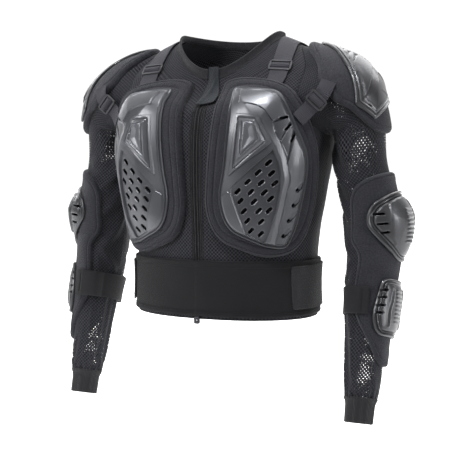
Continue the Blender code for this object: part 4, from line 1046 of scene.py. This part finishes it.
def wedge(points, depth, start, end, half_start, half_end):
    """A V-shaped cut that changes width from its start to its end."""
    gap, share = stroke(points, start, end)
    half = half_start + (half_end - half_start) * share
    return -depth * np.clip(1 - gap / half, 0, 1) * (half / max(half_start, half_end))


def wedge_folds(start, end, half_start, half_end):
    """Mesh lines along the bottom and both edges of a V-shaped cut."""
    start, end = np.asarray(start, float), np.asarray(end, float)
    way = (end - start) / np.linalg.norm(end - start)
    side = np.array([-way[1], way[0]])
    return [np.array([start + side * half_start * s, end + side * half_end * s]) for s in (-1, 0, 1)]


def on_chest(*shares):
    """Places on the chest plate, given as shares of its box's width and height."""
    left, top, width, height = CHEST_PLATE_BOX
    return np.array([(left + a * width, top - b * height) for a, b in shares])


TOP_STEP = curved(on_chest(
    (0.220, 0.106), (0.323, 0.108), (0.399, 0.115), (0.461, 0.128), (0.505, 0.153), (0.560, 0.190)
), 30)
CHEST_TOP = np.vstack([TOP_STEP, on_chest((0.64, 0.175), (0.95, 0.10), (0.95, -0.2), (0.215, -0.2))])
KITE_BORDER = on_chest((0.198, 0.160), (0.399, 0.164), (0.446, 0.181), (0.573, 0.321), (0.149, 0.527))
KITE_OUTER = on_chest((0.233, 0.182), (0.402, 0.189), (0.507, 0.311), (0.205, 0.474))
KITE_INNER = on_chest((0.280, 0.202), (0.386, 0.208), (0.437, 0.302), (0.271, 0.395))
SLOT_FIELD = on_chest(
    (0.592, 0.362), (0.656, 0.434), (0.688, 0.497), (0.703, 0.600), (0.688, 0.736), (0.641, 0.869),
    (0.594, 0.960), (0.400, 0.950), (0.390, 0.935), (0.179, 0.638), (0.181, 0.599),
)
LOW_FACET = on_chest(
    (0.030, 0.675), (0.143, 0.628), (0.179, 0.645), (0.380, 0.935), (0.200, 0.900), (0.050, 0.790)
)
VENT_CUTS = (
    (*on_chest((0.715, 0.152), (0.560, 0.203)), 0.0035, 0.0010),
    (*on_chest((0.750, 0.180), (0.655, 0.312)), 0.0035, 0.0012),
    (*on_chest((0.790, 0.235), (0.745, 0.440)), 0.0038, 0.0012),
)
RIDGE_SHARES = (
    (0.560, 0.190), (0.594, 0.254), (0.653, 0.313), (0.729, 0.406), (0.760, 0.472),
    (0.789, 0.536), (0.780, 0.608), (0.760, 0.735), (0.738, 0.835), (0.723, 0.920), (0.712, 0.990),
)
CHEST_RIDGE = curved(on_chest(*RIDGE_SHARES), 60)
RIDGE_CREST, RIDGE_FOOT = 0.0085, 0.0190  # left of the ridge's outer fold
SCOOP_LENGTH, SCOOP_HALF, SCOOP_LIP = 0.0120, 0.0030, 0.0038
# Holes' lengths and widths, and the slots' turn in degrees
SLOT_TURN = 48
SLOT_SIZE, VENT_SIZE, SCOOP_SIZE = (0.0125, 0.0060), (0.0125, 0.0036), (0.0060, 0.0048)
ELBOW_SLOT_WIDTH, FOREARM_SLOT_WIDTH = 0.0040, 0.0038


def ridge_height(away, on):
    """The plate's long ridge, by distance right of its outer fold: a slope up, a slope down, a drop."""
    up = 0.0034 * np.clip((away + RIDGE_FOOT) / (RIDGE_FOOT - RIDGE_CREST), 0, 1)
    down = 0.0026 * np.clip((away + RIDGE_CREST) / RIDGE_CREST, 0, 1)
    return on * ((up - down) * (away < FOLD) - 0.0012 * ease(away, -FOLD, FOLD))


def chest_scoops():
    """Ends of the round-ended scoops, each with its hole at the first end."""
    for a, b, turn in CHEST_SCOOPS:
        start = on_chest((a, b))[0]
        yield start, start + SCOOP_LENGTH * heading(turn)


def chest_relief(flat, edge):
    left, top, width, height = CHEST_PLATE_BOX
    x, y = (flat[:, 0] - left) / width, (top - flat[:, 1]) / height
    blocks = ((CHEST_TOP, 0.0026), (KITE_BORDER, 0.0020), (SLOT_FIELD, -0.0016), (LOW_FACET, 0.0012))
    form = sum(raised(flat, outline, block) for outline, block in blocks)
    deep = depth_in(flat, KITE_OUTER)
    form += 0.0034 * np.clip(deep / 0.0040, 0, 1) - 0.0016 * bump(deep, -0.0010, 0.0012)
    deep = depth_in(flat, KITE_INNER)
    form -= 0.0018 * bump(deep, -0.0002, 0.0014) + 0.0030 * np.clip((deep - 0.0014) / 0.016, 0, 1)
    right = x > np.interp(y, [b for _, b in RIDGE_SHARES], [a for a, _ in RIDGE_SHARES])
    away = distance(flat, CHEST_RIDGE) * np.where(right, 1, -1)
    in_field = ease(depth_in(flat, SLOT_FIELD), -0.001, 0.001)
    form += ridge_height(away, ease(y, 0.17, 0.30)) * (1 - 0.85 * in_field)
    form += sum(wedge(flat, 0.0034, *cut) for cut in VENT_CUTS)
    for start, end in chest_scoops():
        gap, share = stroke(flat, start, end)
        form -= (0.0026 - 0.0020 * share) * (1 - ease(gap, SCOOP_HALF, SCOOP_LIP))
        form += 0.0005 * bump(gap, 0.0044, 0.0010)
    return form * ease(edge, 0.0062, 0.0078) - grooved(edge, ((0.0034, 0.0010, 0.0010),))


def chest_folds():
    lines = []
    for outline in (KITE_BORDER, KITE_OUTER, KITE_INNER, SLOT_FIELD, LOW_FACET):
        lines += fold_lines(outline)
    lines += fold_lines(TOP_STEP, False)
    for cut in VENT_CUTS:
        lines += wedge_folds(*cut)
    lines += fold_lines(CHEST_RIDGE, False)
    lines += [CHEST_RIDGE - (RIDGE_CREST, 0), CHEST_RIDGE - (RIDGE_FOOT, 0)]
    for start, end in chest_scoops():
        middle, turn = (start + end) / 2, math.degrees(math.atan2(*(end - start)[::-1]))
        lines += [ringed(capsule(middle, turn, SCOOP_LENGTH + 2 * r, 2 * r)) for r in (SCOOP_HALF, SCOOP_LIP)]
    return in_sheet(lines, CHEST_OUTLINE, 0.0068)


def chest_holes():
    holes = [(*slot, SLOT_TURN, *SLOT_SIZE) for slot in CHEST_SLOTS]
    holes += [(*vent, *VENT_SIZE) for vent in CHEST_VENTS]
    holes += [(*scoop, *SCOOP_SIZE) for scoop in CHEST_SCOOPS]
    return [capsule(on_chest((a, b))[0], *size) for a, b, *size in holes]


def down_line(points):
    """A line on the sleeve, from metres round and down."""
    return np.array([(a, -d) for a, d in points])


CHANNEL_MIDDLE = 0.0080  # behind the sleeve's outer line
CLAW_TIP = 0.0003
CLAWS = (
    # middle of the base, tip and half width, on the sleeve in metres round and down
    (-0.0020, 0.0390, 0.0060, 0.0480, 0.0028),
    (-0.0015, 0.0480, 0.0091, 0.0590, 0.0032),
    (-0.0005, 0.0575, 0.0150, 0.0700, 0.0036),
    (0.0000, 0.0680, 0.0202, 0.0800, 0.0040),
    (0.0005, 0.0790, 0.0237, 0.0905, 0.0042),
)
SHOULDER_RIDGE = curved(
    down_line([(-0.014, 0.080), (-0.004, 0.100), (0.0077, 0.1131), (0.0234, 0.1284), (0.0371, 0.1426)]), 30
)
SHOULDER_FINS = (
    down_line([(-0.0354, 0.1409), (-0.0076, 0.1160)]),
    down_line([(-0.0254, 0.1591), (0.0036, 0.1440)]),
)


def claw_cuts():
    """The claws on both sides of the shoulder plate's channel."""
    cuts = [((a, -d), (e, -f), half, CLAW_TIP) for a, d, e, f, half in CLAWS]
    over = 2 * CHANNEL_MIDDLE
    return cuts + [((-a - over, y), (-e - over, z), *halves) for (a, y), (e, z), *halves in cuts]


def shoulder_folds():
    lines = fold_lines(SHOULDER_RIDGE, False)
    for cut in claw_cuts():
        lines += wedge_folds(*cut)
    return in_sheet([*lines, *SHOULDER_FINS], SHOULDER_OUTLINE, 0.013)


def shoulder_relief(flat, edge):
    below = flat[:, 1] < np.interp(flat[:, 0], *SHOULDER_RIDGE.T)
    away = distance(flat, SHOULDER_RIDGE) * np.where(below, 1, -1)
    past = ease(away, 0, 0.0016)
    form = 0.0022 * (1 - np.clip(-away / 0.020, 0, 1)) * (1 - past) - 0.0012 * past
    beside = -np.abs(flat[:, 0] + CHANNEL_MIDDLE)
    form -= 0.0022 * ease(beside, -0.0085, -0.0070) * ease(flat[:, 1], -0.104, -0.092)
    form += sum(wedge(flat, 0.0046, *cut) for cut in claw_cuts())
    form += sum(0.0013 * bump(distance(flat, fin), 0, 0.0016) for fin in SHOULDER_FINS)
    rim = grooved(edge, ((0.0046, 0.0012, 0.0012), (0.0094, 0.0012, 0.0012)))
    return form * ease(edge, 0.010, 0.013) - rim


# Slots on the left sleeve, each by its two ends in metres round and down, as in the photograph
ELBOW_SLOTS = (
    ((0.0373, 0.3211), (0.0518, 0.3198)), ((0.0348, 0.3365), (0.0484, 0.3360)),
    ((0.0330, 0.3496), (0.0441, 0.3508)),
)
FOREARM_SLOTS = (
    ((0.0265, 0.4430), (0.0391, 0.4458)), ((0.0282, 0.4546), (0.0407, 0.4572)),
    ((0.0299, 0.4673), (0.0424, 0.4695)), ((0.0318, 0.4789), (0.0433, 0.4809)),
)
SPIKE = (
    (0.0200, 0.3010), (0.0290, 0.3060), (0.0305, 0.3125), (0.0313, 0.3340), (0.0281, 0.3583),
    (0.0222, 0.3740), (0.0210, 0.3600), (0.0208, 0.3481), (0.0176, 0.3433), (0.0160, 0.3254),
    (0.0165, 0.3080),
)
SPIKES = (down_line(SPIKE), down_line([(-a - 0.004, d) for a, d in SPIKE]))
# Ribs: their front end, first place down, step, number and length
ELBOW_RIBS = (0.0085, 0.3190, 0.0058, 9, 0.018)
FOREARM_RIBS = (0.0090, 0.4420, 0.0062, 9, 0.018)
FOREARM_RIDGE = curved(
    down_line([(0.0165, 0.4390), (0.0185, 0.4610), (0.0212, 0.4777), (0.0200, 0.4990)]), 16
)


def arm_holes(slots, width):
    """Outlines of slots given by their ends."""
    holes = []
    for one, two in map(down_line, slots):
        way = two - one
        turn = math.degrees(math.atan2(way[1], way[0]))
        holes.append(capsule((one + two) / 2, turn, np.linalg.norm(way), width))
    return holes


def rib_lines(front, start, step, count, length, parts=1):
    """Lines along the ribs, and with parts=2 also between them."""
    downs = start + step / parts * np.arange(parts * count - parts + 1)
    return [down_line(((front, d), (front - length, d))) for d in downs]


def ribs(flat, bars, height):
    """Short raised bars, one above the other."""
    return sum(height * bump(distance(flat, line), 0, 0.45 * bars[2]) for line in rib_lines(*bars))


def elbow_folds():
    lines = fold_lines(SPIKES[0]) + fold_lines(SPIKES[1]) + rib_lines(*ELBOW_RIBS, parts=2)
    return in_sheet(lines, ELBOW_OUTLINE, 0.013)


def elbow_relief(flat, edge):
    form = sum(raised(flat, spike, 0.0030) for spike in SPIKES) + ribs(flat, ELBOW_RIBS, 0.0018)
    rim = grooved(edge, ((0.0046, 0.0014, 0.0014), (0.0088, 0.0014, 0.0012)))
    return form * ease(edge, 0.009, 0.012) - rim


def forearm_folds():
    lines = [FOREARM_RIDGE + (a, 0) for a in (-0.0030, 0, 0.0030)] + rib_lines(*FOREARM_RIBS, parts=2)
    lines += [line * (-1, 1) for line in lines[:3]]
    return in_sheet(lines, FOREARM_OUTLINE, 0.011)


def forearm_relief(flat, edge):
    ridges = (FOREARM_RIDGE, FOREARM_RIDGE * (-1, 1))
    form = sum(0.0024 * bump(distance(flat, ridge), 0, 0.0030) for ridge in ridges)
    form += ribs(flat, FOREARM_RIBS, 0.0015)
    rim = grooved(edge, ((0.0046, 0.0014, 0.0014), (0.0082, 0.0014, 0.0010)))
    return form * ease(edge, 0.008, 0.011) - rim


# Each plate's rise, and its slope: where it starts and ends, from the rim, and its first step
CHEST_RISE, CHEST_SLOPE = 0.014, (0.0036, 0.0480, 0.0024)
SHOULDER_RISE, SHOULDER_SLOPE = 0.009, (0.0088, 0.0420, 0.0012)
ELBOW_RISE, ELBOW_SLOPE = 0.016, (0.0085, 0.0420, 0.0020)
FOREARM_RISE, FOREARM_SLOPE = 0.007, (0.0080, 0.0300, 0.0014)
CHEST_RIM = ((0.0016, 0.0020, 0.0008),)


def build_plates():
    chest = plate("chest_shell_left", on_torso, CHEST_OUTLINE, CHEST_RISE, CHEST_PAD_THICK + SEAT,
                  chest_holes(), chest_relief, CHEST_SLOPE, chest_folds(), CHEST_RIM, PLATE)
    pair(chest, "plate", "chest_plate")
    foot = SHOULDER_PAD_THICK + SHOULDER_PLATE_SEAT
    shoulder = plate("shoulder_shell_left", on_sleeve_down, SHOULDER_OUTLINE, SHOULDER_RISE, foot,
                     [], shoulder_relief, SHOULDER_SLOPE, shoulder_folds())
    pair(shoulder, "plate", "shoulder_plate")
    foot = ELBOW_PAD_THICK + ARM_PLATE_SEAT
    elbow = plate("elbow_shell_left", on_sleeve_down, ELBOW_OUTLINE, ELBOW_RISE, foot,
                  arm_holes(ELBOW_SLOTS, ELBOW_SLOT_WIDTH), elbow_relief, ELBOW_SLOPE, elbow_folds())
    pair(elbow, "plate", "elbow_cup")
    forearm = plate("forearm_shell_left", on_sleeve_down, FOREARM_OUTLINE, FOREARM_RISE, foot,
                    arm_holes(FOREARM_SLOTS, FOREARM_SLOT_WIDTH), forearm_relief,
                    FOREARM_SLOPE, forearm_folds())
    pair(forearm, "plate", "forearm_plate")


# Straps and buckles

BUCKLE_BAR, BUCKLE_WALL, BUCKLE_LENGTH = 0.0028, 0.002, 0.021
STRAP_WALL = 0.0015
SHOULDER_WEBBING, SIDE_WEBBING = 0.030, 0.024
SHOULDER_BUCKLE, SIDE_BUCKLE = 0.22, 0.55  # shares of their strap's way
ARM_STRAP_DOWN, ARM_STRAP_WIDTH = 0.462, 0.044


def strap(name, points, normals, width, buckle):
    """Webbing along points that weaves up over its ladder buckle's middle bar, at a share of the way."""
    run = run_along(points)
    here = buckle * run[-1]
    metres = np.linspace(0, run[-1], round(run[-1] / 0.0012))

    def followed(table, at):
        return smooth(np.column_stack([run, table]), at).T

    outward, base = unit(followed(normals, metres)), followed(points, metres)
    behind, ahead = followed(points, np.array([here - BUCKLE_LENGTH / 2, here + BUCKLE_LENGTH / 2]))
    straight = unit(ahead - behind)
    gap = np.abs(metres - here)
    level = (1 - ease(gap, 0.5 * BUCKLE_LENGTH, 0.9 * BUCKLE_LENGTH))[:, None]
    line = followed(points, np.array([here]))[0] + np.outer(metres - here, straight)
    base = base + (line - base) * level
    up = outward[gap <= 0.51 * BUCKLE_LENGTH].mean(0)
    up = unit(up - (up @ straight) * straight)
    outward = unit(outward + (up - outward) * level)
    side = unit(np.cross(np.gradient(base, axis=0), outward))
    over = STRAP_WALL + BUCKLE_WALL + 0.0010
    rise = over * (1 - ease(gap, 0.6 * BUCKLE_BAR, BUCKLE_LENGTH / 2 - 1.3 * BUCKLE_BAR))
    shares = np.linspace(-1, 1, 15)
    soft = 0.00035  # how much thinner the webbing is at its edges
    path = base + outward * rise[:, None]
    outer, inner = (
        np.array([path + side * width / 2 * s + outward * h for s, h in zip(shares, heights)])
        for heights in (STRAP_WALL - soft * np.abs(shares) ** 6, 0 * shares)
    )
    chart = np.stack(np.meshgrid(metres, shares * width / 2), axis=-1)
    return grid_solid(name, outer, inner, chart, WEBBING)


def build_straps():
    angle, up = curved(SHOULDER_STRAP_PATH, 22).T
    path = lifted(torso_point, angle, up, 0.0024)
    normals = lifted(torso_point, angle, up, 0.0124) - path
    webbing = strap("shoulder_webbing_left", path, normals, SHOULDER_WEBBING, SHOULDER_BUCKLE)
    pair(webbing, "webbing", "shoulder_strap")
    across, height = np.array(SIDE_STRAP_PATH).T

    def place(lift):
        return np.concatenate([
            on_torso(across[:2], height[:2], 0.0138 + lift),
            on_sleeve_down(across[2:], height[2:], 0.0125 + lift),
        ])

    path, out = place(0.0), place(0.01) - place(0.0)
    normals = np.linspace(out[0], out[-1], 4)
    webbing = strap("side_webbing_left", path, normals, SIDE_WEBBING, SIDE_BUCKLE)
    pair(webbing, "webbing", "side_strap")
    for name in ("shoulder_strap_buckle", "side_strap_buckle"):
        for suffix in ("_left", "_right"):
            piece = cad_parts[name + suffix]
            piece.data.materials.clear()
            piece.data.materials.append(BUCKLE)
            bevel = piece.modifiers.new("soft edges", "BEVEL")
            bevel.width, bevel.segments, bevel.limit_method = 0.0005, 2, "ANGLE"


def build_arm_straps():
    step = 360 / 14
    turns = np.linspace(2.7 * step, 360 - 2.7 * step, 150)
    top = ELBOW_PAD_THICK + 0.0024
    lift = np.interp(np.minimum(turns, 360 - turns), [4.5 * step, 5.2 * step], [top, SEAT])
    turn, share = np.meshgrid(turns, np.linspace(-0.5, 0.5, 26))
    across, down = np.radians(turn) * ARM_WIDTH / 2, ARM_STRAP_DOWN + share * ARM_STRAP_WIDTH
    edge = ease(0.5 - np.abs(share), 0.0, 0.03)
    sag = 0.0010 * np.sin(np.radians(turn) * 4) * (1 - 4 * share**2)
    past = across - ARM_WIDTH / 2 * math.radians(turns[0])
    slit = 0.0014 * bump(past, 0.0095, 0.0018) * ease(0.36 - np.abs(share), 0.0, 0.03)
    fold = 0.0008 * ease(past, 0.0110, 0.0125)
    outer = on_sleeve(across, down, lift + 0.0014 + 0.0010 * edge + sag + fold - slit)
    inner = on_sleeve(across, down, lift + 0.0002 + sag)
    chart = np.stack([across, down], axis=-1)
    pair(grid_solid("arm_band_left", outer, inner, chart, ARM_BAND), "belt_cloth", "arm_strap")


# Stage, light and camera

AZIMUTH, ELEVATION, AWAY = math.radians(26.0), math.radians(4.0), 1.9
PIXELS = 450  # across the photograph
SEEN = PIXELS * 0.00170  # width of the photograph at the jacket's middle
LOOK_AT = Vector((0, 0, -0.3145))
FLOOR_LOW, FLOOR_HALF = -0.66, 14.0
LIGHTS = (
    # name, place, target, width and height, watts
    ("key", (-1.2, -2.0, 0.75), (0, 0, -0.25), (0.7, 0.8), 34),
    ("side", (2.4, -0.35, 0.15), (0.1, 0, -0.3), (0.5, 1.6), 28),
    ("back_left", (-2.0, 0.7, 0.9), (0, 0, -0.2), (0.6, 1.4), 18),
    ("top", (0.3, 0.5, 2.1), (0, 0, -0.2), (1.4, 1.4), 22),
    ("neck", (0.10, -0.75, 0.95), (0.0, 0.09, -0.04), (0.12, 0.12), 12),
    ("floor_wash", (0.0, 2.2, 1.6), (0.0, 1.6, -0.66), (3.0, 2.0), 60),
)


def build_camera():
    right = Vector((math.cos(AZIMUTH), math.sin(AZIMUTH), 0))
    level = math.cos(ELEVATION)
    back = Vector((math.sin(AZIMUTH) * level, -math.cos(AZIMUTH) * level, math.sin(ELEVATION)))
    camera = add_object("camera", bpy.data.cameras.new("camera"))
    place = Matrix([right, back.cross(right), back]).transposed().to_4x4()
    place.translation = LOOK_AT + back * AWAY
    camera.matrix_world = place
    camera.data.sensor_width, camera.data.lens = 36, 36 * AWAY / SEEN
    camera.data.shift_x = -2 / PIXELS
    bpy.context.scene.camera = camera


def area_light(name, place, target, size, power):
    data = bpy.data.lights.new(name, "AREA")
    data.shape, data.size, data.size_y = "RECTANGLE", *size
    data.energy = power
    light = add_object(name, data)
    light.location = place
    light.rotation_mode = "QUATERNION"
    light.rotation_quaternion = (Vector(target) - Vector(place)).to_track_quat("-Z", "Y")


def behind(tree, key):
    """How far a place or a direction lies towards the wall behind the jacket."""
    inputs = {0: node(tree, "TexCoord").outputs[key], 1: (-math.sin(AZIMUTH), math.cos(AZIMUTH), 0.0)}
    return node(tree, "VectorMath", inputs, operation="DOT_PRODUCT").outputs["Value"]


def build_stage():
    mesh = bpy.data.meshes.new("floor")
    corners = [(a * FLOOR_HALF, b * FLOOR_HALF, FLOOR_LOW) for a, b in ((-1, -1), (1, -1), (1, 1), (-1, 1))]
    mesh.from_pydata(corners, [], [(0, 1, 2, 3)])
    look = Look("pale_floor", Roughness=0.9, Emission_Color=(1, 1, 1, 1))
    # Painted light: the floor glows though it is no lamp. Its colour and its glow both grow towards the wall
    # behind, so its front is darker.
    pale = ranged(look.tree, behind(look.tree, "Object"), -0.60, -0.14, 0.0, 1.0)
    look.colour(pale, (0.22, 0.22, 0.22), (0.90, 0.90, 0.90))
    look.feed("Emission Strength", calc(look.tree, "MULTIPLY", pale, 0.95))
    mesh.materials.append(look.material)
    add_object("floor", mesh)
    world = bpy.data.worlds.new("studio")
    world.use_nodes = True
    tree = world.node_tree
    wall = ranged(tree, behind(tree, "Generated"), 0.20, 0.75, 0.12, 1.05)
    tree.links.new(wall, tree.nodes["Background"].inputs["Strength"])
    tree.nodes["Background"].inputs["Color"].default_value = (1, 1, 1, 1)
    bpy.context.scene.world = world
    for light in LIGHTS:
        area_light(*light)
    bpy.context.scene.view_settings.view_transform = "Standard"


build_camera()
build_body()
build_sleeves()
build_cuffs()
build_collar()
build_zipper()
build_stop()
build_tab()
build_belt()
build_belt_tabs()
build_pads()
build_plates()
build_straps()
build_arm_straps()
build_stage()
